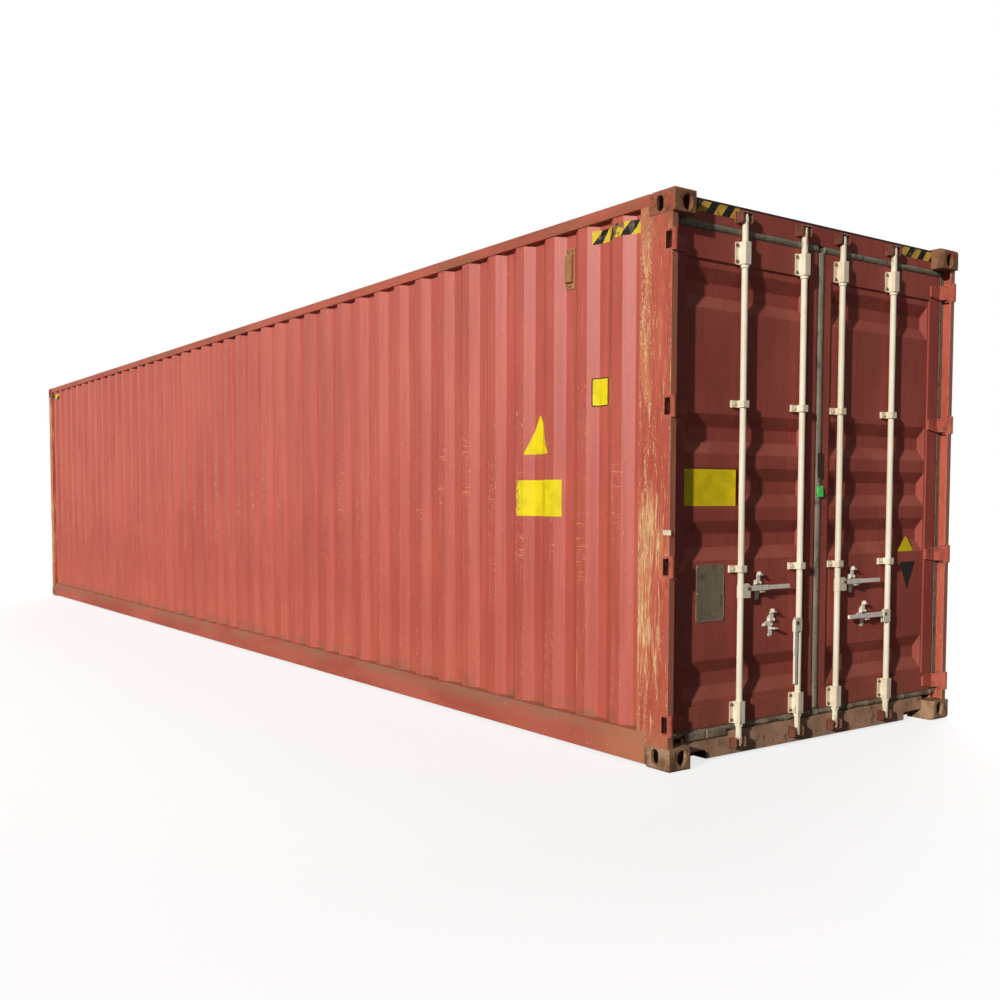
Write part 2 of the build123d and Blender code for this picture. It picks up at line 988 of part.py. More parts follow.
def retainer(y, level, toward):
    """A flared plate on the leaf with two ears for the latch."""
    back = panel_face
    outline = []
    for along, up in retainer_outline:
        outline.append((back, y + toward * along, level + up))
    plate = drawn(outline, (retainer_plate, 0, 0))
    pin_z = level + latch_pin_rise
    pin_at = panel_face + latch_pin_standoff
    for side in (-1, 1):
        near = y + side * (latch_width / 2 + ear_gap)
        far = near + side * ear_thickness
        plate += block(back, pin_at, near, far, pin_z - ear_radius, pin_z + ear_radius)
        plate += round_along_y(pin_at, pin_z, ear_radius, near, far)
        plate -= round_along_y(pin_at, pin_z, latch_pin_radius + bar_play, near, far)
    return plate


def rest_hook(y, level):
    """The bent strap under a handle, which the handle rests on."""
    half = hook_width / 2
    high = level - handle_width / 2 - hook_gap
    strap = block(panel_face, panel_face + retainer_plate, y - half, y + half, high - hook_drop, high)
    front = leaf_face + hook_reach
    return strap + block(panel_face, front, y - half, y + half, high - hook_plate, high)


def latch(y, level):
    """A flap that turns down over the handle, shown raised."""
    pin_z = level + latch_pin_rise
    pin_at = panel_face + latch_pin_standoff
    half = latch_width / 2
    span = half + ear_gap + ear_thickness
    flap = round_along_y(pin_at, pin_z, latch_hub_radius, y - half, y + half)
    flap += round_along_y(pin_at, pin_z, latch_pin_radius, y - span, y + span)
    x0 = pin_at - latch_plate_thickness / 2
    x1 = pin_at + latch_plate_thickness / 2
    top = pin_z + latch_arm
    flap += block(x0, x1, y - half, y + half, pin_z, top)
    flap += block(x0, pin_at + latch_reach, y - half, y + half, top - latch_plate_thickness, top)
    knob = latch_knob_radius
    flap += upright(pin_at, y, knob, top, top + latch_knob_height)
    return flap


# Cam keepers

def keeper(y, centre, beyond):
    """Two cheeks on the beam's face, joined past the bar's end and open to the front."""
    inner = cam_reach + keeper_clearance
    outer = inner + keeper_cheek
    back = leaf_face
    front = leaf_face + keeper_reach
    end = bar_top + keeper_clearance if beyond > 0 else bar_bottom - keeper_clearance
    far = end + beyond * keeper_web
    near = centre - beyond * cam_height / 2
    piece = block(back, front, y - outer, y + outer, far, near)
    piece = fillet(piece.edges().filter_by(Axis.Y).sort_by(Axis.X)[-2:], keeper_corner)
    side_edges = [edge for edge in piece.edges().filter_by(Axis.Z) if edge.center().X > back + keeper_edge]
    piece = fillet(side_edges, keeper_edge)
    piece -= block(back - overrun, front + overrun, y - inner, y + inner, end, near - beyond * overrun)
    for side in (-1, 1):
        edge = y + side * outer
        piece += block(back, back + keeper_flange_plate, edge, edge + side * keeper_flange, far, near)
    return piece


def keepers(centre, beyond):
    return [keeper(y, centre, beyond) for y in bar_places]


# The outline of a retainer's plate, along the handle and up from its level
retainer_outline = (
    (-retainer_half_width, -retainer_foot),
    (retainer_flare, -retainer_foot),
    (retainer_flare, retainer_low_step),
    (retainer_half_width, retainer_high_step),
    (retainer_half_width, retainer_rise),
    (-retainer_half_width, retainer_rise),
)

# What each bar carries: its place, handle level, handle direction and turn at rest
bar_places = (-bar_spread_outer, -bar_spread_inner, bar_spread_inner, bar_spread_outer)
handle_levels = (handle_upper, handle_lower, handle_upper, handle_lower)
handle_sides = (1, -1, 1, -1)
retainer_offsets = (retainer_upper, retainer_lower, retainer_upper, retainer_lower)
resting_turns = (0.0, bar_resting_degrees, 0.0, 0.0)
hanging = (False, True, False, False)


def turned(solid, y, angle):
    """A piece turned about the upright axis of its bar."""
    return Pos(bar_x, y, 0) * Rot(0, 0, angle) * Pos(-bar_x, -y, 0) * solid


def dropped(solid, y, level, toward):
    """A handle let down from level to hang beside its bar."""
    pivot_y = y + toward * handle_pivot
    return Pos(0, pivot_y, level) * Rot(-90 * toward, 0, 0) * Pos(0, -pivot_y, -level) * solid


def main():
    os.makedirs("parts", exist_ok=True)
    save("bottom_corner_fittings", fittings(False))
    save("top_corner_fittings", fittings(True))
    post = [door_post()]
    save("door_corner_posts", post + mirrored(post))
    save("front_corner_posts", [front_post(-1), front_post(1)])
    save("top_side_rails", [top_rail(-1), top_rail(1)])
    save("bottom_side_rails", [bottom_rail(-1), bottom_rail(1)])
    save("door_header", [door_header()])
    save("door_sill", [door_sill()])
    save("front_header", [front_header()])
    sill = [front_sill()]
    save("front_sill", sill + mirrored(sill))
    save("front_sill_bridge", [front_sill_bridge()])
    save("left_side_wall", [side_wall(-1)])
    save("right_side_wall", [side_wall(1)])
    save("front_wall", [front_wall()])
    save("roof", [roof()])
    save("roof_end_plate", [roof_end_plate()])
    save("floor_boards", floor_boards())
    save("cross_members", cross_members())
    save("tunnel_outriggers", tunnel_outriggers())
    save("tunnel_bows", tunnel_bows())
    save("gooseneck_tunnel", [gooseneck_tunnel()])
    side = [tunnel_side()]
    save("tunnel_sides", side + mirrored(side))
    save("ventilators", [ventilator(-1), ventilator(1)])
    pins = hinge_pins()
    save("left_hinge_pins", mirrored(pins))
    save("right_hinge_pins", pins)
    save("top_cam_keepers", keepers(cam_top, 1))
    save("bottom_cam_keepers", keepers(cam_bottom, -1))

    leaf = {
        "frame": [door_frame()],
        "panel": [door_panel()],
        "gasket": [door_gasket()],
        "hinge_blades": hinge_blades(),
    }
    for name, solids in leaf.items():
        save("left_door_" + name, mirrored(solids))
        save("right_door_" + name, solids)
    save("left_bar_brackets", bar_brackets(bar_places[:2]))
    save("right_bar_brackets", bar_brackets(bar_places[2:]))

    retainers = []
    for number, y in enumerate(bar_places):
        level = handle_levels[number]
        toward = handle_sides[number]
        bar = locking_bar(y, level, toward)
        lever = handle(y, level, toward)
        if hanging[number]:
            lever = dropped(lever, y, level, toward)
        angle = -toward * resting_turns[number]
        save("locking_bar_" + str(number + 1), [turned(bar, y, angle)])
        save("handle_" + str(number + 1), [turned(lever, y, angle)])
        hold_y = y + toward * retainer_offsets[number]
        retainers.append([retainer(hold_y, level, toward), rest_hook(hold_y, level)])
        save("latch_" + str(number + 1), [latch(hold_y, level)])
    save("left_handle_retainers", retainers[0] + retainers[1])
    save("right_handle_retainers", retainers[2] + retainers[3])


main()
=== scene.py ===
# %% [markdown]
# # A long freight container, dressed for its picture
#
# The solids of the container are made elsewhere, to true size, and packed as one frame.
# This lesson gives them their weathered paint, rust, rubber and plywood, and adds the small
# pieces that are too fine for the solids: bolts, screws, stickers, plates and weld beads.
# Every length is in metres. The doors face +X, the long side in the picture faces -Y,
# and the container stands on z = 0.

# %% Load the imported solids
import json
import math

import bmesh
import bpy
from mathutils import Matrix, Vector


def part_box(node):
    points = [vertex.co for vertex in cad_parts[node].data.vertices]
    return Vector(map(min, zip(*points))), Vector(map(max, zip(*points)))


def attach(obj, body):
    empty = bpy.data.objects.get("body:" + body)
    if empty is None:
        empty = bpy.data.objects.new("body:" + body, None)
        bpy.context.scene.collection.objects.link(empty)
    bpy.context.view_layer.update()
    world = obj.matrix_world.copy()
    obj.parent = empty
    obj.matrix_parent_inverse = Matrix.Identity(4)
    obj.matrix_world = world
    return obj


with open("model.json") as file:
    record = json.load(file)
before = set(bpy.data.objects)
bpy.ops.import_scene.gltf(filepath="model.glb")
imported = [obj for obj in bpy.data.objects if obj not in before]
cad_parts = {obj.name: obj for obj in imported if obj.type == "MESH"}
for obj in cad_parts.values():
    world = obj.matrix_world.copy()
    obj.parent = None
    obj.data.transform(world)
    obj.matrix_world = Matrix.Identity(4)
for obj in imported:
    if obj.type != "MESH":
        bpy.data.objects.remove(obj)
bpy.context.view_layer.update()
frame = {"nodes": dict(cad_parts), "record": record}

nodes = frame["nodes"]

# %% [markdown]
# ## The camera
#
# The photograph was taken with a wide lens, low down, near the corner where the doors meet the
# long side. Known lengths of the container gave the place, the turn and the lens of that camera.
# A small shift keeps the upright edges nearly upright, as they are in the picture.

# %% Place the camera
camera_data = bpy.data.cameras.new("picture_camera")
camera_data.sensor_width = 36.0
camera_data.lens = 38.995
camera_data.shift_x = 0.0146
camera_data.shift_y = 0.0542
camera_data.clip_end = 200.0
camera = bpy.data.objects.new("picture_camera", camera_data)
bpy.context.scene.collection.objects.link(camera)
rightwards = Vector((0.57791, 0.81610, 0.00138))
upwards = Vector((-0.04278, 0.02861, 0.99867))
backwards = rightwards.cross(upwards)
camera.matrix_world = Matrix((
    (rightwards.x, upwards.x, backwards.x, 9.9234),
    (rightwards.y, upwards.y, backwards.y, -5.0542),
    (rightwards.z, upwards.z, backwards.z, 1.3732),
    (0.0, 0.0, 0.0, 1.0),
))
bpy.context.scene.camera = camera
bpy.context.scene.view_settings.view_transform = "Standard"
print("camera looks along", -backwards)

# %% [markdown]
# ## Shader maths that reads like Python
#
# A worn paint is mostly sums on masks: how high, how near a crest, how noisy. Wiring each sum by
# hand hides the idea, so a small class wraps a socket and lets ordinary signs add the Math
# nodes. Every other node comes from one method of the finish.

# %% A socket that takes part in sums
class Signal:
    """A number that a material works out at each point of a surface."""

    def __init__(self, finish, socket):
        self.finish = finish
        self.socket = socket

    def sum(self, operation, *values):
        sockets = dict(enumerate(values))
        return self.finish.node("ShaderNodeMath", {"operation": operation}, sockets)

    def __add__(self, other):
        return self.sum("ADD", self, other)

    def __radd__(self, other):
        return self.sum("ADD", other, self)

    def __sub__(self, other):
        return self.sum("SUBTRACT", self, other)

    def __mul__(self, other):
        return self.sum("MULTIPLY", self, other)

    def __truediv__(self, other):
        return self.sum("DIVIDE", self, other)

    def __abs__(self):
        return self.sum("ABSOLUTE", self)

    def fraction(self):
        return self.sum("FRACT", self)

    def larger(self, other):
        return self.sum("MAXIMUM", self, other)


def paint(red, green, blue):
    """A colour as a paint chart gives it, from 0 to 255, turned into light values."""
    parts = []
    for part in (red, green, blue):
        share = part / 255
        parts.append(share / 12.92 if share <= 0.04045 else ((share + 0.055) / 1.055) ** 2.4)
    return (*parts, 1.0)


# %% A finish under construction
class Finish:
    """A material with the few nodes that every worn surface here is made of."""

    def __init__(self, name):
        self.material = bpy.data.materials.new(name)
        self.material.use_nodes = True
        self.tree = self.material.node_tree
        self.shader = self.tree.nodes["Principled BSDF"]
        self.place = self.node("ShaderNodeTexCoord", output="Object")
        split = self.node("ShaderNodeSeparateXYZ", sockets={0: self.place}).socket.node
        self.x, self.y, self.z = [Signal(self, socket) for socket in split.outputs]

    def node(self, kind, settings=None, sockets=None, output=0):
        """Adds a node: its settings first, then values or links for its sockets."""
        made = self.tree.nodes.new(kind)
        for key, value in (settings or {}).items():
            setattr(made, key, value)
        for key, value in (sockets or {}).items():
            if isinstance(value, Signal):
                self.tree.links.new(value.socket, made.inputs[key])
            else:
                made.inputs[key].default_value = value
        return Signal(self, made.outputs[output])

    def noise(self, size, stretch=(1, 1, 1), detail=3.0, rough=0.5, seed=0.0):
        """Cloudy noise whose blots are about size metres, stretched along each axis."""
        scale = tuple(1 / (size * part) for part in stretch)
        placed = self.node("ShaderNodeMapping", sockets={
            "Vector": self.place, "Location": (seed, seed * 1.7, seed * 0.6), "Scale": scale})
        return self.node("ShaderNodeTexNoise", sockets={
            "Vector": placed, "Scale": 1.0, "Detail": detail, "Roughness": rough})

    def between(self, value, low, high):
        """0 below low, 1 above high, smooth in between; a low above high turns it round."""
        flip = low > high
        return self.node("ShaderNodeMapRange", {"interpolation_type": "SMOOTHSTEP"}, {
            "Value": value, "From Min": min(low, high), "From Max": max(low, high),
            "To Min": 1.0 if flip else 0.0, "To Max": 0.0 if flip else 1.0})

    def band(self, value, low, high, soft):
        """1 between low and high, fading over soft outside."""
        return self.between(value, low - soft, low) * self.between(value, high + soft, high)

    def mix(self, mask, under, over):
        """One colour over another by a mask."""
        return self.node("ShaderNodeMix", {"data_type": "RGBA"}, {0: mask, 6: under, 7: over}, 2)

    def edges(self, width):
        """1 at the sharp edges of the solid, over about width metres, and 0 on its faces."""
        rounded = self.node("ShaderNodeBevel", {"samples": 6}, {"Radius": width})
        flat = self.node("ShaderNodeNewGeometry", output="Normal")
        same = self.node("ShaderNodeVectorMath", {"operation": "DOT_PRODUCT"}, {0: rounded, 1: flat}, 1)
        return self.between(same, 0.985, 0.9)

    def rounding(self, width):
        """A normal that rounds sharp edges off over width metres."""
        return self.node("ShaderNodeBevel", {"samples": 6}, {"Radius": width})

    def bump(self, height, distance, strength=1.0, normal=None):
        sockets = {"Height": height, "Distance": distance, "Strength": strength}
        if normal:
            sockets["Normal"] = normal
        return self.node("ShaderNodeBump", sockets=sockets)

    def put(self, **sockets):
        """Sets or links the shader's own sockets, such as Base_Color."""
        for key, value in sockets.items():
            socket = self.shader.inputs[key.replace("_", " ")]
            if isinstance(value, Signal):
                self.tree.links.new(value.socket, socket)
            else:
                socket.default_value = value
        return self


finishes = {}
print("the finish builder is ready")

# %% [markdown]
# ## Sun-bleached wall paint
#
# The walls are a brick-red paint that years of sun have faded. It has kept some gloss, which
# shows on the slopes that face between the sun and the eye. Rubbing against neighbours has
# flaked the crests, mostly along their two edges, and scored them across at half height. The
# foot of the wall is lighter with dust, and browner at its weld. The pressing repeats, so its
# phase along the wall finds the edges of the crests. Noise drawn out upwards and cut off at its
# peaks gives the ragged flakes. The roof has the same paint, gone chalky, so it has lost its gloss.

# %% Make the wall paint
wave_start, wave_pitch, wave_count = -5.9035, 0.280, 42
slope_width, crest_width, wave_depth, crest_y = 0.066, 0.074, 0.036, 1.210


def make_wall_paint(name, outward, crest_at, gloss=0.5):
    finish = Finish(name)
    z = finish.z
    crest = finish.between(abs(outward(finish)), crest_at - 0.005, crest_at - 0.001)
    phase = ((finish.x - wave_start) / wave_pitch).fraction() * wave_pitch
    from_middle = abs(phase - (slope_width + crest_width / 2))
    rim = finish.band(from_middle, crest_width / 2 - 0.016, crest_width / 2 + 0.002, 0.006) * crest
    clouds = finish.noise(0.9, (1, 1, 1.6), 4.0, 0.6, 2.0)
    drips = finish.noise(0.035, (1, 1, 26), 3.0, 0.5, 5.0)
    colour = finish.mix(finish.between(clouds, 0.36, 0.66), paint(185, 82, 66), paint(198, 94, 75))
    colour = finish.mix(finish.between(drips, 0.5, 0.68) * 0.4, colour, paint(164, 68, 60))
    colour = finish.mix(finish.between(drips, 0.48, 0.34) * 0.3, colour, paint(208, 106, 88))
    dust = finish.between(z + clouds * 0.6, 1.15, 0.35) * 0.4
    colour = finish.mix(dust, colour, paint(206, 106, 84))
    handled = finish.band(z, 0.45, 1.75, 0.5) * 0.6 + 0.4
    groups = finish.between(finish.noise(0.35, (0.6, 1, 1.6), 3.0, 0.6, 14.0), 0.42, 0.62)
    flaked = finish.noise(0.009, (1, 1, 4), 4.0, 0.7, 9.0) + groups * (rim * 0.06 + crest * 0.02) * handled
    colour = finish.mix(finish.between(flaked, 0.64, 0.68) * 0.7, colour, paint(226, 136, 108))
    colour = finish.mix(finish.between(flaked, 0.7, 0.73) * 0.9, colour, paint(238, 178, 132))
    across = finish.noise(0.007, (12, 12, 1), 2.0, 0.5, 31.0)
    scored_place = finish.band(z, 1.0, 1.7, 0.15) * finish.between(finish.noise(0.3, seed=8.0), 0.5, 0.58)
    scored = finish.between(across, 0.6, 0.66) * scored_place * crest
    colour = finish.mix(scored * 0.8, colour, paint(234, 158, 122))
    scrape = finish.between(finish.noise(0.012, (1, 1, 40), 2.0, 0.5, 1.0), 0.66, 0.7) * crest * handled
    colour = finish.mix(scrape * 0.7, colour, paint(228, 142, 108))
    foot = finish.between(z, 0.3, 0.18) * finish.between(finish.noise(0.12, seed=4.0), 0.42, 0.62)
    colour = finish.mix(foot * 0.8, colour, paint(150, 98, 70))
    grain = finish.noise(0.004, detail=2.0)
    dents = finish.noise(0.5, (1, 1, 1.5), 2.0, 0.4, 20.0)
    relief = finish.bump(grain * 0.0004 + dents * 0.012, 1.0, 0.5)
    return finish.put(Base_Color=colour, Roughness=0.4 + clouds * 0.12,
                      Specular_IOR_Level=gloss, Normal=relief)


finishes["wall_paint"] = make_wall_paint("sun_bleached_wall_paint", lambda finish: finish.y, crest_y)
finishes["end_paint"] = make_wall_paint("sun_bleached_end_paint", lambda finish: finish.x, 6.06)
finishes["roof_paint"] = make_wall_paint("chalky_roof_paint", lambda finish: finish.z, 2.885, 0.06)
print("wall paint for the long sides, the blind end and the roof")

# %% [markdown]
# ## Scraped corner posts
#
# The posts by the doors take the knocks. Their paint is a brighter orange-red, flaked in upright
# tatters down to cream primer and brown steel. The strip beside the wall is worst, speckled up
# near the top fitting and torn in long streaks from knee to chest height. Two noises of different
# size are added before the cut, so that large flakes have ragged borders.

# %% Make the post paint
def make_post_paint():
    finish = Finish("scraped_post_paint")
    z = finish.z
    clouds = finish.noise(0.4, (1, 1, 2.5), 4.0, 0.6, 3.0)
    colour = finish.mix(finish.between(clouds, 0.36, 0.66), paint(186, 86, 70), paint(206, 108, 86))
    drips = finish.noise(0.012, (1, 1, 14), 3.0, 0.5, 5.0)
    colour = finish.mix(finish.between(drips, 0.52, 0.66) * 0.5, colour, paint(158, 70, 52))
    ragged = finish.noise(0.02, (1, 1, 8), 4.0, 0.65, 6.0)
    speckle = finish.noise(0.006, (1, 1, 3), 4.0, 0.7, 8.0)
    streak = finish.noise(0.006, (1, 1, 24), 3.0, 0.6, 18.0)
    side = finish.between(abs(finish.y), 1.19, 1.2)
    low = finish.band(z, 0.55, 1.3, 0.25)
    high = finish.band(z, 2.25, 2.8, 0.2)
    strip = finish.between(finish.x + ragged * 0.05, 5.985, 5.935)
    broad = finish.between(finish.x + ragged * 0.06, 6.08, 6.03)
    speckled = speckle * 0.6 + ragged * 0.4 + strip * (0.045 + high * 0.03) + broad * 0.01
    torn = streak * 0.6 + ragged * 0.4 + broad * low * 0.075 + strip * low * 0.02
    spared = finish.between(finish.y, 0.0, 0.1) * 0.05
    flakes = speckled.larger(torn) + (side - 1.0) * 0.04 - spared
    stained = finish.noise(0.06, (1, 1, 6), 3.0, 0.5, 27.0) + strip * 0.12 + low * 0.04 - spared * 2
    colour = finish.mix(finish.between(stained, 0.54, 0.68) * 0.6, colour, paint(216, 136, 96))
    colour = finish.mix(finish.between(flakes, 0.57, 0.6) * 0.6, colour, paint(222, 148, 104))
    primer = finish.between(flakes, 0.6, 0.63)
    colour = finish.mix(primer * 0.85, colour, paint(242, 208, 152))
    rust = finish.between(flakes + finish.between(clouds, 0.4, 0.7) * low * 0.03, 0.69, 0.71)
    colour = finish.mix(rust, colour, paint(122, 86, 48))
    grime = finish.between(z, 0.34, 0.14) * finish.between(clouds, 0.4, 0.6)
    colour = finish.mix(grime * 0.6, colour, paint(166, 116, 80))
    brown = finish.between(z + clouds * 0.1, 2.66, 2.8) * finish.between(ragged, 0.4, 0.6)
    colour = finish.mix(brown * 0.6, colour, paint(142, 88, 60))
    front = finish.band(finish.x, 6.078, 6.088, 0.002) * finish.between(ragged, 0.36, 0.5)
    colour = finish.mix(front * 0.7, colour, paint(160, 108, 82))
    edge = finish.edges(0.007) * finish.between(speckle, 0.4, 0.54)
    colour = finish.mix(edge * 0.8, colour, paint(222, 168, 140))
    grain = finish.noise(0.004, detail=2.0)
    relief = finish.bump(grain * 0.0006 - primer * 0.001 - rust * 0.001, 1.0, 0.7, finish.rounding(0.004))
    return finish.put(Base_Color=colour, Roughness=0.5 + primer * 0.2,
                      Specular_IOR_Level=0.25, Normal=relief)


finishes["post_paint"] = make_post_paint()
print("post paint")

# %% [markdown]
# ## Dusty rails
#
# The long rails at the top and foot are the same red, greyed by dust and stained brown where water
# stands. The foot rail is darkest just under the wall's weld and clears downwards.

# %% Make the rail paint
def make_rail_paint():
    finish = Finish("dusty_rail_paint")
    z = finish.z
    clouds = finish.noise(0.35, (2.5, 1, 1), 4.0, 0.6, 1.0)
    colour = finish.mix(finish.between(clouds, 0.38, 0.64), paint(172, 82, 62), paint(190, 98, 76))
    stains = finish.noise(0.16, (3, 1, 1), 4.0, 0.65, 7.0)
    high = finish.between(z, 2.7, 2.8)
    colour = finish.mix(finish.between(stains, 0.5, 0.64) * high * 0.7, colour, paint(150, 92, 68))
    near_end = finish.between(finish.x, 4.6, 5.9) * finish.between(stains, 0.38, 0.56) * high
    colour = finish.mix(near_end * 0.75, colour, paint(150, 96, 64))
    under_weld = finish.between(z, 0.06, 0.17) * finish.between(z, 1.0, 0.5)
    colour = finish.mix(finish.between(stains, 0.4, 0.58) * under_weld * 0.85, colour, paint(160, 110, 86))
    near_door = finish.between(finish.x, 5.3, 5.9) * finish.between(z, 1.0, 0.5)
    colour = finish.mix(near_door * 0.7, colour, paint(190, 126, 88))
    fine = finish.noise(0.01, (4, 1, 1), 3.0, 0.65, 9.0)
    chips = finish.between(fine, 0.68, 0.72)
    colour = finish.mix(chips * 0.8, colour, paint(232, 160, 120))
    edge = finish.edges(0.005) * finish.between(clouds, 0.4, 0.6)
    colour = finish.mix(edge * 0.7, colour, paint(150, 108, 92))
    grain = finish.noise(0.004, detail=2.0)
    relief = finish.bump(grain * 0.0008, 1.0, 0.6, finish.rounding(0.005))
    return finish.put(Base_Color=colour, Roughness=0.6 + stains * 0.15, Normal=relief)


finishes["rail_paint"] = make_rail_paint()
print("rail paint")

# %% [markdown]
# ## Cast corner fittings
#
# The fittings are rough castings that hoists and twistlocks keep scraping, so hardly any paint is
# left. They are warm brown rust with a few tan and dark patches and a sandy surface.

# %% Make the rust of the castings
def make_casting():
    finish = Finish("rusty_casting")
    clouds = finish.noise(0.07, (1, 1, 1.5), 5.0, 0.65, 2.0)
    colour = finish.mix(finish.between(clouds, 0.36, 0.62), paint(118, 82, 60), paint(152, 108, 78))
    spots = finish.noise(0.025, detail=4.0, rough=0.7, seed=6.0)
    colour = finish.mix(finish.between(spots, 0.56, 0.66) * 0.8, colour, paint(76, 50, 38))
    tan = finish.noise(0.03, (1, 1, 3), 4.0, 0.6, 11.0)
    colour = finish.mix(finish.between(tan, 0.6, 0.66) * 0.8, colour, paint(196, 140, 92))
    red = finish.noise(0.09, detail=3.0, seed=15.0)
    colour = finish.mix(finish.between(red, 0.56, 0.66) * 0.5, colour, paint(176, 84, 62))
    painted = finish.between(finish.z, 2.6, 2.7) * finish.between(abs(finish.y), 1.214, 1.2175)
    colour = finish.mix(painted * finish.between(spots, 0.58, 0.46) * 0.8, colour, paint(184, 92, 66))
    muddy = finish.between(finish.z, 0.35, 0.1) * finish.between(clouds, 0.34, 0.6)
    colour = finish.mix(muddy * 0.85, colour, paint(184, 150, 116))
    edge = finish.edges(0.008) * finish.between(spots, 0.4, 0.55)
    colour = finish.mix(edge * 0.6, colour, paint(200, 156, 118))
    sand = finish.noise(0.006, detail=4.0, rough=0.7)
    relief = finish.bump(sand * 0.003 + clouds * 0.006, 1.0, 0.8, finish.rounding(0.008))
    return finish.put(Base_Color=colour, Roughness=0.75 + spots * 0.15,
                      Specular_IOR_Level=0.2, Normal=relief)


finishes["casting"] = make_casting()
print("casting")

# %% [markdown]
# ## Door paint
#
# The door leaves are a deeper maroon. Dust settles on the slopes of their hollows, and water runs
# down from there in faint streaks. Near the foot it is more worn, with pale scrapes.

# %% Make the door paint
def make_door_paint():
    finish = Finish("dusty_door_paint")
    z = finish.z
    clouds = finish.noise(0.5, (1, 1, 1.4), 4.0, 0.6, 4.0)
    colour = finish.mix(finish.between(clouds, 0.36, 0.66), paint(158, 76, 66), paint(174, 88, 76))
    drips = finish.noise(0.03, (1, 1, 16), 3.0, 0.55, 8.0)
    colour = finish.mix(finish.between(drips, 0.54, 0.7) * 0.4, colour, paint(134, 62, 55))
    facing = finish.node("ShaderNodeNewGeometry", output="Normal")
    upward = finish.node("ShaderNodeSeparateXYZ", sockets={0: facing}, output="Z")
    dust = finish.between(upward, 0.15, 0.8) * finish.between(clouds, 0.3, 0.6)
    colour = finish.mix(dust * 0.55, colour, paint(192, 124, 104))
    low = finish.between(z + clouds * 0.4, 0.9, 0.3)
    colour = finish.mix(low * 0.5, colour, paint(158, 90, 74))
    fine = finish.noise(0.008, (1, 3, 1), 4.0, 0.65, 13.0)
    chips = finish.between(fine, 0.69, 0.73)
    colour = finish.mix(chips * 0.7, colour, paint(198, 132, 112))
    edge = finish.edges(0.005) * finish.between(drips, 0.45, 0.6)
    colour = finish.mix(edge * 0.7, colour, paint(172, 108, 90))
    grain = finish.noise(0.004, detail=2.0)
    dents = finish.noise(0.35, detail=2.0, seed=22.0)
    relief = finish.bump(grain * 0.0006 + dents * 0.01, 1.0, 0.6, finish.rounding(0.004))
    return finish.put(Base_Color=colour, Roughness=0.5 + clouds * 0.2,
                      Specular_IOR_Level=0.12, Normal=relief)


finishes["door_paint"] = make_door_paint()
print("door paint")

# %% [markdown]
# ## Sill, seals, hinges and the parts underneath
#
# These share one recipe: a base colour, a second colour in clouds, dirt in fine spots and worn
# edges. One function makes them all, so that each needs only its own colours and sizes.

# %% Make the plainer worn finishes
def make_worn(name, base, second, dirt, edge_colour, size=0.15, edge=0.7, rough=0.6, relief=0.0015):
    """A surface in two clouded colours with spots of dirt and rubbed edges."""
    finish = Finish(name)
    clouds = finish.noise(size, (1, 1, 1.5), 4.0, 0.6, 2.0)
    colour = finish.mix(finish.between(clouds, 0.36, 0.64), paint(*base), paint(*second))
    spots = finish.noise(size * 0.22, (1, 1, 1.6), 4.0, 0.7, 5.0)
    colour = finish.mix(finish.between(spots, 0.54, 0.64) * 0.8, colour, paint(*dirt))
    rubbed = finish.edges(0.004) * finish.between(spots, 0.38, 0.55)
    colour = finish.mix(rubbed * edge, colour, paint(*edge_colour))
    grain = finish.noise(0.005, detail=4.0, rough=0.65)
    bump = finish.bump(grain * relief + clouds * relief, 1.0, 0.7, finish.rounding(0.003))
    return finish.put(Base_Color=colour, Roughness=rough + spots * 0.15,
                      Specular_IOR_Level=0.2, Normal=bump)


worn_finishes = {
    "sill_paint": ("road_dirt_on_sill", (174, 134, 108), (198, 158, 128), (126, 94, 76), (216, 174, 140)),
    "rubber_seal": ("dusty_seal_rubber", (128, 120, 104), (146, 138, 120), (84, 76, 66), (166, 156, 136)),
    "hinge_steel": ("maroon_hinge_steel", (176, 84, 68), (194, 102, 82), (118, 64, 50), (222, 158, 128)),
    "forging": ("rusty_forging", (104, 58, 46), (132, 80, 60), (70, 44, 36), (214, 170, 132)),
    "underframe": ("bitumen_underframe", (50, 46, 43), (66, 58, 52), (92, 66, 50), (96, 84, 74)),
    "vent_plastic": ("ochre_vent_cover", (174, 122, 82), (188, 138, 96), (140, 92, 62), (206, 158, 116)),
}
for slot, (name, *colours) in worn_finishes.items():
    finishes[slot] = make_worn(name, *colours)
print(len(worn_finishes), "plainer finishes")

# %% [markdown]
# ## Cream paint on the locking gear
#
# The bars are galvanised pipe under cream paint. Rust creeps in at both ends, where the cams work,
# in thin runs down the pipe, and round the brackets. The handles are barer and darker.

# %% Make the cream finishes
def make_cream(name, clean, shade, rust_share):
    finish = Finish(name)
    z = finish.z
    clouds = finish.noise(0.12, (1, 1, 3), 4.0, 0.6, 3.0)
    colour = finish.mix(finish.between(clouds, 0.36, 0.66), paint(*shade), paint(*clean))
    ends = finish.between(z, 0.3, 0.12) + finish.between(z, 2.66, 2.8)
    runs = finish.noise(0.014, (1, 1, 9), 4.0, 0.65, 7.0)
    rust = finish.between(runs + ends * 0.16 + rust_share, 0.68, 0.74)
    colour = finish.mix(rust * 0.85, colour, paint(140, 92, 66))
    stain = finish.between(runs + ends * 0.14 + rust_share, 0.62, 0.7)
    colour = finish.mix(stain * 0.35, colour, paint(192, 152, 116))
    edge = finish.edges(0.003) * finish.between(runs, 0.45, 0.58)
    colour = finish.mix(edge * 0.6, colour, paint(150, 112, 84))
    grain = finish.noise(0.004, detail=3.0)
    relief = finish.bump(grain * 0.0008 - rust * 0.0006, 1.0, 0.6, finish.rounding(0.0025))
    return finish.put(Base_Color=colour, Roughness=0.45 + rust * 0.3,
                      Specular_IOR_Level=0.2, Normal=relief)


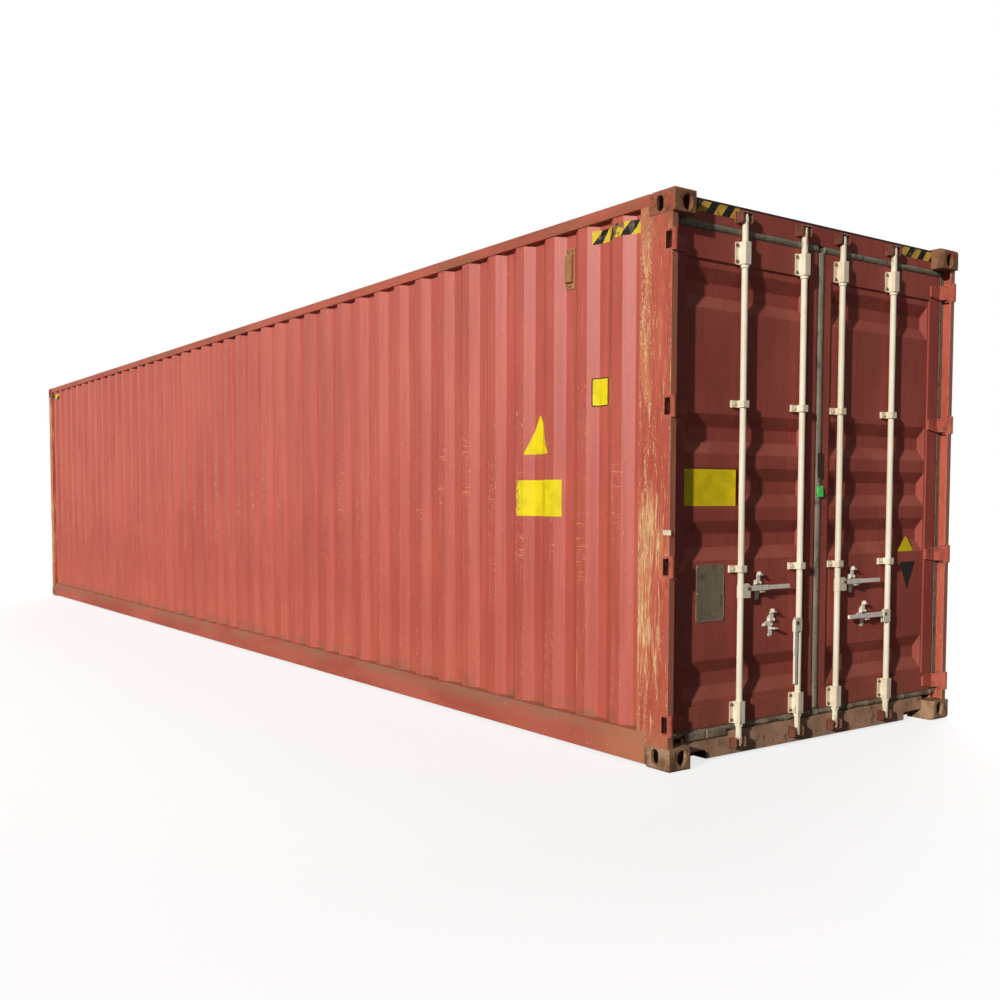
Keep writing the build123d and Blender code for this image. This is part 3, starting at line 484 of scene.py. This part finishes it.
finishes["zinc_bar"] = make_cream("cream_bar_paint", (252, 246, 224), (240, 230, 202), -0.01)
finishes["bracket_paint"] = make_cream("cream_bracket_paint", (250, 242, 216), (234, 220, 190), 0.01)
finishes["zinc_handle"] = make_cream("worn_handle_metal", (255, 250, 238), (238, 230, 214), 0.02)
print("cream finishes for bars, brackets and handles")

# %% [markdown]
# ## Plywood floor
#
# The floor boards are thick plywood, seen when the doors are open. The grain runs along the
# container, with scuffs from pallets and forklifts.

# %% Make the plywood
def make_plywood():
    finish = Finish("worn_plywood")
    grain = finish.noise(0.012, (40, 1, 1), 4.0, 0.6, 2.0)
    clouds = finish.noise(0.4, (2, 1, 1), 4.0, 0.6, 5.0)
    colour = finish.mix(finish.between(grain, 0.35, 0.65), paint(150, 108, 70), paint(186, 142, 98))
    colour = finish.mix(finish.between(clouds, 0.45, 0.65) * 0.6, colour, paint(112, 82, 58))
    scuffs = finish.noise(0.02, (9, 1, 1), 3.0, 0.6, 8.0)
    colour = finish.mix(finish.between(scuffs, 0.66, 0.7) * 0.7, colour, paint(74, 60, 50))
    relief = finish.bump(grain * 0.0012, 1.0, 0.7)
    return finish.put(Base_Color=colour, Roughness=0.6 + grain * 0.15, Normal=relief)


finishes["plywood"] = make_plywood()

# %% [markdown]
# ## Put the finishes on the solids
#
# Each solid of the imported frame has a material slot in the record. Most take the finish of that
# name. A few differ here: the blind end's crests face along x, and the brackets are cream.
#
# Handling has also rounded the free corners of the castings. Their triangles are joined first,
# because an edge can only be rounded where its two faces share it. The corners that meet a post
# or a rail stay sharp, so that no gap opens there.

# %% Dress every solid
special = {
    "front_wall": "end_paint",
    "roof": "roof_paint",
    "roof_end_plate": "roof_paint",
    "left_bar_brackets": "bracket_paint",
    "right_bar_brackets": "bracket_paint",
    "left_handle_retainers": "zinc_handle",
    "right_handle_retainers": "zinc_handle",
}
slot_of = {part["node"]: part["material_slot"] for part in frame["record"]["subparts"]}


def dress(node, finish):
    """Gives a solid one finish in place of the plain colour that it came with."""
    mesh = nodes[node].data
    mesh.materials.clear()
    mesh.materials.append(finish.material)


for node in nodes:
    dress(node, finishes[special.get(node, slot_of[node])])

casting_end_x, casting_inner_x = 6.096, 5.918
casting_side_y, casting_inner_y = 1.219, 1.057
for node in ("top_corner_fittings", "bottom_corner_fittings"):
    casting = nodes[node]
    corners = casting.vertex_groups.new(name="outer_corners")
    low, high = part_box(node)
    free_z, joined_z = (high.z, low.z) if node.startswith("top") else (low.z, high.z)
    rounded = (
        (casting_end_x, casting_side_y, free_z),
        (casting_end_x, casting_inner_y, free_z),
        (casting_inner_x, casting_side_y, free_z),
        (casting_end_x, casting_inner_y, joined_z),
    )
    near = [vert.index for vert in casting.data.vertices
            if any((Vector((abs(vert.co.x), abs(vert.co.y), vert.co.z)) - Vector(place)).length < 0.001
                   for place in rounded)]
    corners.add(near, 1.0, "ADD")
    joined = casting.modifiers.new("joined_triangles", "WELD")
    joined.merge_threshold = 0.0001
    worn = casting.modifiers.new("worn_corners", "BEVEL")
    worn.width = 0.020
    worn.segments = 4
    worn.use_clamp_overlap = False
    worn.limit_method = "VGROUP"
    worn.vertex_group = "outer_corners"
    print(node, "has", len(near), "outer corners")
print("dressed", len(nodes), "solids")

# %% [markdown]
# ## Small pieces
#
# Everything from here on is too fine for the solids. Each piece starts from a bmesh shape, gets
# its form from bmesh tools, and is handed over with its finish and the body that it rides on.

# %% Hand a shape over as a piece
def add_piece(name, shape, finish, body):
    """Turns a finished bmesh into a named piece that rides on a body."""
    bmesh.ops.recalc_face_normals(shape, faces=shape.faces)
    mesh = bpy.data.meshes.new(name)
    shape.to_mesh(mesh)
    shape.free()
    piece = bpy.data.objects.new(name, mesh)
    bpy.context.scene.collection.objects.link(piece)
    mesh.materials.append(finish.material)
    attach(piece, body)
    return piece


def add_slab(shape, low, high, rounding=0.0):
    """A box between two corners, with its edges rounded."""
    low, high = Vector(low), Vector(high)
    size = high - low
    place = Matrix.Translation((low + high) / 2) @ Matrix.Diagonal((*size, 1.0))
    made = bmesh.ops.create_cube(shape, size=1.0, matrix=place)["verts"]
    if rounding:
        edges = list({edge for vert in made for edge in vert.link_edges})
        bmesh.ops.bevel(shape, geom=edges, offset=rounding, offset_type="OFFSET", affect="EDGES",
                        segments=2, profile=0.5, material=-1, clamp_overlap=True)


def add_slabs(name, slabs, finish, body):
    """A piece made of boxes, each given by its two corners and its rounding."""
    shape = bmesh.new()
    for slab in slabs:
        add_slab(shape, *slab)
    return add_piece(name, shape, finish, body)


def round_corners(shape, width):
    """Rounds the corners of a flat shape."""
    bmesh.ops.bevel(shape, geom=shape.verts[:], offset=width, offset_type="OFFSET",
                    affect="VERTICES", segments=4, profile=0.5, material=-1)


turn_to_x = Matrix.Rotation(math.radians(90), 4, "Y")
turn_to_y = Matrix.Rotation(math.radians(-90), 4, "X")


def add_bolt(shape, place, direction, radius=0.009, height=0.007):
    """A hexagon head on a round washer, pointing along x or y from its place."""
    turn = turn_to_x if direction.startswith("x") else turn_to_y
    if direction.endswith("-"):
        turn = Matrix.Rotation(math.pi, 4, "Z") @ turn
    for size, start, end, sides in ((radius * 1.35, 0.0, 0.002, 16), (radius, 0.0015, height, 6)):
        middle = Matrix.Translation((0, 0, (start + end) / 2))
        bmesh.ops.create_cone(shape, cap_ends=True, segments=sides, radius1=size, radius2=size * 0.96,
                              depth=end - start, matrix=Matrix.Translation(place) @ turn @ middle)


print("helpers for pieces")

# %% [markdown]
# ## Bolts and screws
#
# The end brackets of the locking bars are held by four bolts each, the middle guides and the
# handle retainers by one or two. They are the same small hexagon heads in cream or rusty steel.

# %% Bolt the door gear down
bar_y = [-0.647, -0.168, 0.168, 0.647]
handle_z = [0.897, 0.690, 0.897, 0.690]
toward = [1, -1, 1, -1]
reach = [0.160, 0.206, 0.160, 0.206]
bracket_z = [0.239, 2.650]
guide_z = [1.0029, 1.869]

for side, bars in (("left", (0, 1)), ("right", (2, 3))):
    shape, screws = bmesh.new(), bmesh.new()
    for bar in bars:
        for z in bracket_z:
            for made, step_y in ((screws, -0.040), (shape, 0.040)):
                for step_z in (-0.041, 0.041):
                    add_bolt(made, (6.020, bar_y[bar] + step_y, z + step_z), "x", 0.0075, 0.007)
        for z in guide_z:
            add_bolt(shape, (6.022, bar_y[bar] - 0.046, z), "x", 0.0075, 0.006)
        hold_y = bar_y[bar] + toward[bar] * reach[bar]
        for along, up in ((0.046, -0.003), (-0.016, 0.034)):
            add_bolt(shape, (6.011, hold_y + toward[bar] * along, handle_z[bar] + up), "x", 0.006, 0.005)
    add_piece(side + "_gear_bolts", shape, finishes["bracket_paint"], side + "_door")
    add_piece(side + "_gear_screws", screws, finishes["forging"], side + "_door")
print("bolts on both doors")

# %% [markdown]
# ## Straps, knobs and hub pins
#
# A strap with round ends lies behind each handle retainer, and a ball crowns each latch. The hub
# of each bar shows the head of the pin that its handle turns on.

# %% Back the retainers with straps and crown the latches with knobs
panel_x = 6.006
strap_thickness, strap_half_width, strap_down, strap_up = 0.003, 0.015, 0.070, 0.052
strap_end_radius = 0.0145
knob_radius, knob_sink = 0.0125, 0.008
hub_half_height, hub_pin_offset = 0.04, 0.041
bare_metal = finishes["zinc_handle"]

for bar in range(4):
    door = "left_door" if bar < 2 else "right_door"
    hold_y, level = bar_y[bar] + toward[bar] * reach[bar], handle_z[bar]
    shape = bmesh.new()
    add_slab(shape, (panel_x, hold_y - strap_half_width, level - strap_down),
             (panel_x + strap_thickness, hold_y + strap_half_width, level + strap_up))
    through = [edge for edge in shape.edges
               if abs(edge.verts[0].co.x - edge.verts[1].co.x) > strap_thickness / 2]
    bmesh.ops.bevel(shape, geom=through, offset=strap_end_radius, offset_type="OFFSET",
                    affect="EDGES", segments=6, profile=0.5, material=-1)
    add_piece(f"retainer_strap_{bar + 1}", shape, bare_metal, door)
    low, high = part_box(f"latch_{bar + 1}")
    knob = Matrix.Translation(((low.x + high.x) / 2, hold_y, high.z - knob_sink))
    shape = bmesh.new()
    bmesh.ops.create_uvsphere(shape, u_segments=20, v_segments=12, radius=knob_radius, matrix=knob)
    add_piece(f"latch_knob_{bar + 1}", shape, bare_metal, f"latch_{bar + 1}")
    bar_node = f"locking_bar_{bar + 1}"
    hub_x = max(vert.co.x for vert in nodes[bar_node].data.vertices
                if abs(vert.co.z - level) < hub_half_height)
    shape = bmesh.new()
    add_bolt(shape, (hub_x, bar_y[bar] + toward[bar] * hub_pin_offset, level), "x", 0.008, 0.003)
    add_piece(f"hub_pin_{bar + 1}", shape, finishes["forging"], bar_node)
    print(f"latch {bar + 1} ends at z {high.z:.3f}, its bar's hub at x {hub_x:.3f}")

# %% [markdown]
# ## Things that follow the pressed wall
#
# Stickers lie on crests, slopes and hollows alike. So a flat shape is cut at each fold of the
# wall, and each point is then pushed in to the wall's depth there. The folds repeat every 280 mm.

# %% Lay flat shapes on the wall's waves
def wall_depth(x):
    """How far the wall stands back from its crests at x."""
    along = (x - wave_start) % wave_pitch
    if x < wave_start or x > wave_start + wave_pitch * wave_count or along > 2 * slope_width + crest_width:
        return wave_depth
    if along < slope_width:
        return wave_depth * (1 - along / slope_width)
    if along > slope_width + crest_width:
        return wave_depth * (along - slope_width - crest_width) / slope_width
    return 0.0


def lay_on_wall(shape, side, lift, thick):
    """Cuts a flat shape in the x-z plane at the wall's folds, pushes it on to the wall, thickens it."""
    low = min(vert.co.x for vert in shape.verts)
    high = max(vert.co.x for vert in shape.verts)
    for number in range(wave_count):
        for step in (0.0, slope_width, slope_width + crest_width, 2 * slope_width + crest_width):
            fold = wave_start + number * wave_pitch + step
            if low < fold < high:
                parts = shape.verts[:] + shape.edges[:] + shape.faces[:]
                bmesh.ops.bisect_plane(shape, geom=parts, plane_co=(fold, 0, 0), plane_no=(1, 0, 0))
    for vert in shape.verts:
        vert.co.y = side * (crest_y - wall_depth(vert.co.x) + lift)
    bmesh.ops.recalc_face_normals(shape, faces=shape.faces)
    outer = bmesh.ops.extrude_face_region(shape, geom=shape.faces[:])["geom"]
    for vert in outer:
        if isinstance(vert, bmesh.types.BMVert):
            vert.co.y += side * thick


def wall_rectangle(low, high, corner=0.0):
    """A flat rectangle in the x-z plane from its low to its high corner."""
    shape = bmesh.new()
    size = (high[0] - low[0], high[1] - low[1])
    place = Matrix.Translation(((low[0] + high[0]) / 2, 0, (low[1] + high[1]) / 2))
    turn = Matrix.Rotation(math.radians(90), 4, "X")
    bmesh.ops.create_grid(shape, x_segments=1, y_segments=1, size=0.5,
                          matrix=place @ turn @ Matrix.Diagonal((*size, 1, 1)))
    if corner:
        round_corners(shape, corner)
    return shape


print("the wall has", wave_count, "waves")

# %% [markdown]
# ## Hazard stripes and plain stickers
#
# A tall container carries black and yellow stripes at the top of its ends and sides. They are
# foils, so they go matt and wear through to the paint on the crests. The stickers are plain
# yellow, and their colour is worn away by the same kind of noise cut as the paint's chips.

# %% Make the sticker finishes
def make_stripes(name, along, offset, dull):
    """Slanting black and yellow bars, worn through on the crests of the wall."""
    finish = Finish(name)
    position = (finish.x if along == "x" else finish.y) - finish.z * 0.8
    turn = ((position + offset) / 0.118).fraction()
    black = finish.between(turn, 0.5, 0.515) * finish.between(turn, 1.0, 0.985)
    wear = finish.noise(0.03, (1, 1, 2), 4.0, 0.7, 3.0)
    grey = finish.mix(finish.between(wear, 0.5, 0.6), paint(26, 23, 22), paint(98, 90, 84))
    yellow = finish.mix(finish.between(wear, 0.4, 0.6), paint(232, 206, 44), paint(222, 190, 70))
    if dull:
        yellow = finish.mix(finish.between(wear, 0.4, 0.6), paint(240, 200, 80), paint(218, 172, 76))
        grey = finish.mix(finish.between(wear, 0.5, 0.62), paint(20, 16, 18), paint(44, 36, 34))
    colour = finish.mix(black, yellow, grey)
    crest = finish.between(abs(finish.y), 1.206, 1.2095) if along == "x" else 0.0
    bare = finish.between(wear + crest * 0.14, 0.62, 0.66)
    colour = finish.mix(bare, colour, paint(150, 104, 84))
    return finish.put(Base_Color=colour, Roughness=0.5 + wear * 0.2, Specular_IOR_Level=0.12)


def make_sticker(name, base, under, worn_x=None):
    """A plain foil, with its border worn where the wall's crest stands out."""
    finish = Finish(name)
    wear = finish.noise(0.012, (1, 1, 2), 4.0, 0.7, 3.0)
    clouds = finish.noise(0.08, detail=3.0, seed=6.0)
    shade = tuple(int(part * 0.93) for part in base)
    colour = finish.mix(finish.between(clouds, 0.4, 0.65), paint(*base), paint(*shade))
    limit = wear
    if worn_x:
        limit = wear + finish.between(finish.x, worn_x[1], worn_x[0]) * 0.22
    colour = finish.mix(finish.between(limit, 0.66, 0.7), colour, paint(*under))
    return finish.put(Base_Color=colour, Roughness=0.45 + clouds * 0.15, Specular_IOR_Level=0.15)


side_stripes = make_stripes("side_hazard_stripes", "x", 0.083, False)
left_header_stripes = make_stripes("left_header_hazard_stripes", "y", 0.054, True)
right_header_stripes = make_stripes("right_header_hazard_stripes", "y", 0.113, True)
yellow_foil = make_sticker("bright_yellow_foil", (250, 228, 30), (206, 132, 104), (4.80, 4.87))
dull_yellow = make_sticker("dull_yellow_foil", (255, 226, 24), (170, 110, 70))
black_edge = make_sticker("black_foil_edge", (34, 30, 30), (120, 80, 66))
print("foils")

# %% Lay the foils on both long walls
foil_thickness, foil_lift = 0.0006, 0.0002
wall_foils = (
    ("stripes_door_end", (5.462, 2.727), (5.848, 2.797), 0.0, foil_lift, 0.0006, side_stripes),
    ("stripes_blind_end", (-5.965, 2.727), (-5.640, 2.797), 0.0, foil_lift, 0.0006, side_stripes),
    ("height_sticker_edge", (5.463, 1.866), (5.574, 2.019), 0.010, foil_lift, 0.0005, black_edge),
    ("height_sticker", (5.469, 1.872), (5.568, 2.013), 0.006, 0.0006, 0.0006, yellow_foil),
    ("wide_sticker", (4.809, 1.272), (5.201, 1.479), 0.004, foil_lift, 0.0006, yellow_foil),
)
for side, word in ((-1, "left"), (1, "right")):
    for name, low, high, corner, lift, thick, finish in wall_foils:
        shape = wall_rectangle(low, high, corner)
        lay_on_wall(shape, side, lift, thick)
        add_piece(f"{word}_{name}", shape, finish, "container")
    shape = bmesh.new()
    bmesh.ops.create_circle(shape, cap_ends=True, segments=3, radius=0.5)
    bmesh.ops.rotate(shape, verts=shape.verts, matrix=Matrix.Rotation(math.radians(90), 3, "X"))
    bmesh.ops.scale(shape, vec=(0.233 / 0.866, 1.0, 0.228 / 0.75), verts=shape.verts)
    lowest = min(vert.co.z for vert in shape.verts)
    bmesh.ops.translate(shape, vec=(4.992, 0, 1.628 - lowest), verts=shape.verts)
    round_corners(shape, 0.016)
    lay_on_wall(shape, side, foil_lift, foil_thickness)
    add_piece(word + "_pointed_sticker", shape, yellow_foil, "container")
print("foils on the long walls")

# %% Lay the foils on the header and the doors
header_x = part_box("door_header")[1].x
flat_foils = (
    ("header_stripes_left", (-1.034, 2.824), (-0.667, 2.881), header_x, left_header_stripes, "container"),
    ("header_stripes_right", (0.761, 2.824), (1.056, 2.881), header_x, right_header_stripes, "container"),
    ("left_door_wide_sticker", (-1.060, 1.335), (-0.660, 1.526), panel_x, dull_yellow, "left_door"),
)
for name, low, high, back, finish, body in flat_foils:
    slab = ((back, *low), (back + foil_thickness, *high))
    add_slabs(name, [slab], finish, body)
print("header at x", header_x)

# %% Lay the pointed foils on the right door
def pointed_foil(name, low, high, upwards, at_x, finish):
    """A triangle with rounded corners between two corners in y and z, on a door's face."""
    shape = bmesh.new()
    bmesh.ops.create_circle(shape, cap_ends=True, segments=3, radius=1.0)
    stand = Matrix.Rotation(math.radians(90), 4, "X")
    turn = Matrix.Rotation(math.radians(90), 4, "Z")
    bmesh.ops.transform(shape, matrix=turn @ stand, verts=shape.verts)
    if not upwards:
        bmesh.ops.transform(shape, matrix=Matrix.Rotation(math.pi, 4, "X"), verts=shape.verts)
    for axis, (start, end) in (("y", (low[0], high[0])), ("z", (low[1], high[1]))):
        places = [getattr(vert.co, axis) for vert in shape.verts]
        least, most = min(places), max(places)
        for vert in shape.verts:
            share = (getattr(vert.co, axis) - least) / (most - least)
            setattr(vert.co, axis, start + (end - start) * share)
    round_corners(shape, 0.012)
    raised = bmesh.ops.extrude_face_region(shape, geom=shape.faces[:])["geom"]
    for vert in shape.verts:
        vert.co.x = at_x
    for vert in raised:
        if isinstance(vert, bmesh.types.BMVert):
            vert.co.x = at_x + foil_thickness
    add_piece(name, shape, finish, "right_door")


pointed_foil("right_door_upper_triangle", (0.785, 1.055), (0.950, 1.150), True, panel_x, dull_yellow)
pointed_foil("right_door_lower_triangle", (0.813, 0.815), (0.969, 0.990), False, panel_x, black_edge)

# %% [markdown]
# ## The data plate
#
# A pressed plate with a narrow raised rim is riveted to the left door. The rim is made by
# insetting the plate's face and pushing the inner part back, so that it catches the light.

# %% Rivet the data plate on
def make_plate(name, low, high, back, thick, rim, finish, body):
    """A plate that faces the doors' side, with a raised rim round a sunken field."""
    shape = bmesh.new()
    add_slab(shape, (back, *low), (back + thick, *high))
    face = max(shape.faces, key=lambda part: part.calc_center_median().x)
    bmesh.ops.inset_region(shape, faces=[face], thickness=rim, depth=0.0)
    bmesh.ops.translate(shape, vec=(-thick * 0.5, 0, 0), verts=face.verts)
    return add_piece(name, shape, finish, body)


plate_metal = make_worn("dull_plate_metal", (140, 126, 102), (124, 112, 92), (104, 90, 74), (206, 196, 170),
                        size=0.2, edge=0.9, rough=0.5, relief=0.0006)
plate_low, plate_high = (-0.949, 0.734), (-0.742, 1.031)
make_plate("data_plate", plate_low, plate_high, panel_x, 0.004, 0.006, plate_metal, "left_door")
shape = bmesh.new()
for y in (plate_low[0] + 0.010, plate_high[0] - 0.010):
    for z in (plate_low[1] + 0.012, (plate_low[1] + plate_high[1]) / 2, plate_high[1] - 0.012):
        add_bolt(shape, (panel_x + 0.003, y, z), "x", 0.004, 0.003)
add_piece("data_plate_rivets", shape, plate_metal, "left_door")
print("data plate with six rivets")

# %% [markdown]
# ## Rubber lips
#
# The flat seals of the solids carry a soft bulging lip on the real door. It shows as a grey
# half-round band above, below and between the leaves. A long tube with an oval section does
# this, half sunk behind the doors' face. The lip at the foot has been crushed by loading, so its
# rings are squeezed by different amounts, and two flattened patches hang over it on the left.

# %% Run the lips round both doors
def add_lip(shape, start, end, depth, breadth, rings=1, crushed=0.0, seed=0):
    """An oval tube from start to end; depth is its radius along x, breadth its radius across."""
    start, end = Vector(start), Vector(end)
    step = (end - start) / rings
    upright = abs(step.z) > abs(step.y)
    turn = Matrix.Identity(4) if upright else Matrix.Rotation(math.radians(90), 4, "X")
    place = Matrix.Translation(start) @ turn @ Matrix.Diagonal((depth, breadth, 1, 1))
    made = bmesh.ops.create_circle(shape, cap_ends=True, segments=20, radius=1.0, matrix=place)["verts"]
    face = made[0].link_faces[0]
    size = 1.0
    for ring in range(1, rings + 1):
        grown = bmesh.ops.extrude_face_region(shape, geom=[face])["geom"]
        face = [part for part in grown if isinstance(part, bmesh.types.BMFace)][0]
        next_size = 1.0 - crushed * abs(math.sin(ring * 12.9 + seed))
        middle = start + step * ring
        for vert in face.verts:
            vert.co = middle + (vert.co + step - middle) * (next_size / size)
        size = next_size


seal = finishes["rubber_seal"]
foot_seal = make_worn("trodden_foot_seal", (156, 142, 120), (124, 108, 90), (76, 60, 48),
                      (186, 162, 132), size=0.07)
lip_x, side_lip_x = 6.003, 5.999
lip_low, lip_high = 0.190, 2.740
for side, word in ((-1, "left"), (1, "right")):
    outer_y, middle_y, post_y = side * 1.150, side * 0.030, side * 1.170
    shape = bmesh.new()
    add_lip(shape, (lip_x, outer_y, 2.760), (lip_x, middle_y, 2.760), 0.021, 0.022, 9, 0.05)
    add_lip(shape, (side_lip_x, post_y, lip_low), (side_lip_x, post_y, lip_high), 0.016, 0.018, 9, 0.05)
    add_piece(word + "_door_seal_lips", shape, seal, word + "_door")
    shape = bmesh.new()
    add_lip(shape, (lip_x, outer_y, 0.160), (lip_x + 0.002, middle_y, 0.158),
            0.021, 0.020, 61, 0.45, side)
    add_piece(word + "_door_foot_lip", shape, foot_seal, word + "_door")
shape = bmesh.new()
add_lip(shape, (lip_x, 0.012, lip_low), (lip_x, 0.012, lip_high), 0.022, 0.024, 19, 0.06)
add_piece("right_door_centre_lip", shape, seal, "right_door")
patches = [((6.012, low_y, 0.122), (6.028, high_y, 0.168), 0.007)
           for low_y, high_y in ((-1.035, -0.888), (-0.881, -0.729))]
add_slabs("left_door_foot_patches", patches, foot_seal, "left_door")
print("seal lips")

# %% [markdown]
# ## Painted shade on the header, and trims on the seal and the post
#
# A dark strip along the header's top edge is painted shade, standing for the shadow under the
# roof's edge. A strip of dark repair tape and a green tag on its strap sit on the seal between
# the doors, and a cream scrap of foil is left on the near post.

# %% Add the trims
# One dark finish serves the real repair tape and strap, and the header's painted shadow strip.
dark_tape_and_painted_shade = make_sticker("dark_repair_tape_and_painted_shade", (52, 44, 42), (90, 70, 60))
green_clip = make_sticker("green_clip_plastic", (96, 255, 120), (60, 170, 80))
cream_scrap = make_sticker("cream_foil_scrap", (238, 226, 190), (190, 140, 104))
# Painted shade: a thin dark strip on the header's top edge stands for the shadow under the roof's edge.
painted_shadow_strip = ((header_x, -casting_inner_y, 2.882), (header_x + 0.003, casting_inner_y, 2.890), 0.001)
add_slabs("header_painted_shadow_strip", [painted_shadow_strip], dark_tape_and_painted_shade, "container")
tape = ((6.0245, -0.008, 1.491), (6.0262, 0.032, 1.632), 0.0008)
add_slabs("seal_repair_tape", [tape], dark_tape_and_painted_shade, "right_door")
shape = bmesh.new()
add_slab(shape, (6.0265, -0.012, 1.384), (6.0305, 0.038, 1.444), 0.0015)
add_slab(shape, (6.0300, -0.004, 1.404), (6.0325, 0.012, 1.430), 0.001)
bmesh.ops.rotate(shape, verts=shape.verts, cent=(6.028, 0.013, 1.414),
                 matrix=Matrix.Rotation(0.09, 3, "X"))
add_piece("seal_tag", shape, green_clip, "right_door")
strap = ((6.0240, -0.016, 1.392), (6.0262, 0.080, 1.400), 0.001)
add_slabs("seal_tag_strap", [strap], dark_tape_and_painted_shade, "right_door")
scrap = ((6.034, -1.2166, 1.192), (6.090, -1.2160, 1.217))
add_slabs("post_foil_scrap", [scrap], cream_scrap, "container")

# %% [markdown]
# ## Weld beads, vent screws and floor screws
#
# A bead of weld joins each wall to its bottom rail and follows every fold. The vent covers have
# three screws each, and the floor is screwed down in rows over the cross members.

# %% Add the beads and screws
bead = make_worn("weld_bead", (158, 84, 62), (136, 78, 58), (104, 66, 48), (190, 128, 96), size=0.06)
for side, word in ((-1, "left"), (1, "right")):
    shape = wall_rectangle((-5.94, 0.176), (5.85, 0.185))
    lay_on_wall(shape, side, 0.0, 0.005)
    add_piece(word + "_foot_weld", shape, bead, "container")

for side, word in ((-1, "left"), (1, "right")):
    mine = [vert.co for vert in nodes["ventilators"].data.vertices if vert.co.y * side > 0]
    low = Vector([min(place[axis] for place in mine) for axis in range(3)])
    high = Vector([max(place[axis] for place in mine) for axis in range(3)])
    middle = (low.x + high.x) / 2
    face = min(abs(low.y), abs(high.y)) + 0.005
    shape = bmesh.new()
    for x, z in ((middle - 0.018, high.z - 0.016), (middle + 0.018, high.z - 0.016), (middle, low.z + 0.014)):
        add_bolt(shape, (x, side * face, z), "y" if side > 0 else "y-", 0.006, 0.005)
    add_piece(word + "_vent_screws", shape, finishes["forging"], "container")
    print(word, "vent", low, high)

shape = bmesh.new()
floor_low, floor_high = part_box("floor_boards")
rows, columns, end_margin, side_margin = 20, 12, 0.15, 0.08
run = floor_high.x - floor_low.x - 2 * end_margin
breadth = floor_high.y - floor_low.y - 2 * side_margin
for row in range(rows):
    x = floor_low.x + end_margin + run * row / (rows - 1)
    for column in range(columns):
        y = floor_low.y + side_margin + breadth * column / (columns - 1)
        bmesh.ops.create_cone(shape, cap_ends=True, segments=8, radius1=0.007, radius2=0.006, depth=0.0015,
                              matrix=Matrix.Translation((x, y, floor_high.z + 0.0006)))
add_piece("floor_screws", shape, finishes["hinge_steel"], "container")
print("beads and screws")

# %% [markdown]
# ## Light, floor and backdrop
#
# Low sun from the left lights the long side fully and only grazes the doors, which makes the bars
# throw long shadows. The lengths of those shadows in the picture gave its direction. A second,
# very wide and soft lamp stands behind on the other side, so that the blind end, the far wall and
# the roof aren't dark when they are looked at. A pale sky fills the shade. The floor is pale, and
# the backdrop is white only to rays that come straight from the camera, off a gloss or through
# something clear, so that it adds no light to rough surfaces.

# %% Light the scene
def add_sun(name, towards, energy, width_degrees, colour):
    data = bpy.data.lights.new(name, "SUN")
    data.energy = energy
    data.angle = math.radians(width_degrees)
    data.color = colour
    lamp = bpy.data.objects.new(name, data)
    bpy.context.scene.collection.objects.link(lamp)
    lamp.matrix_world = Vector(towards).to_track_quat("Z", "Y").to_matrix().to_4x4()


add_sun("low_sun", (0.320, -0.904, 0.300), 3.0, 1.6, (1.0, 0.965, 0.92))
add_sun("soft_back_light", (-0.60, 0.62, 0.50), 2.6, 60.0, (0.96, 0.98, 1.0))

world = bpy.data.worlds.new("pale_sky")
world.use_nodes = True
bpy.context.scene.world = world
sky = world.node_tree
backdrop = sky.nodes["Background"]
ray = sky.nodes.new("ShaderNodeLightPath")
seen = sky.nodes.new("ShaderNodeMath")
seen.operation = "MAXIMUM"
either = sky.nodes.new("ShaderNodeMath")
either.operation = "MAXIMUM"
sky.links.new(ray.outputs["Is Camera Ray"], seen.inputs[0])
sky.links.new(ray.outputs["Is Glossy Ray"], seen.inputs[1])
sky.links.new(seen.outputs[0], either.inputs[0])
sky.links.new(ray.outputs["Is Transmission Ray"], either.inputs[1])
shown = sky.nodes.new("ShaderNodeMix")
shown.data_type = "RGBA"
shown.inputs[6].default_value = (0.03, 0.03, 0.04, 1.0)
shown.inputs[7].default_value = (1.0, 1.0, 1.0, 1.0)
sky.links.new(either.outputs[0], shown.inputs[0])
sky.links.new(shown.outputs[2], backdrop.inputs["Color"])
backdrop.inputs["Strength"].default_value = 1.0

floor_finish = Finish("pale_floor")
ray = floor_finish.node("ShaderNodeLightPath", output="Is Camera Ray")
lift = floor_finish.mix(ray, (0.0, 0.0, 0.0, 1.0), (0.76, 0.76, 0.76, 1.0))
shade = floor_finish.mix(ray, paint(84, 82, 80), paint(150, 149, 147))
floor_finish.put(Base_Color=shade, Roughness=0.9, Emission_Color=lift, Emission_Strength=1.0)
shape = bmesh.new()
bmesh.ops.create_grid(shape, x_segments=1, y_segments=1, size=70.0)
floor_mesh = bpy.data.meshes.new("floor")
shape.to_mesh(floor_mesh)
shape.free()
floor = bpy.data.objects.new("floor", floor_mesh)
floor.location.z = -0.001
floor.data.materials.append(floor_finish.material)
bpy.context.scene.collection.objects.link(floor)
print("sun, sky and floor")
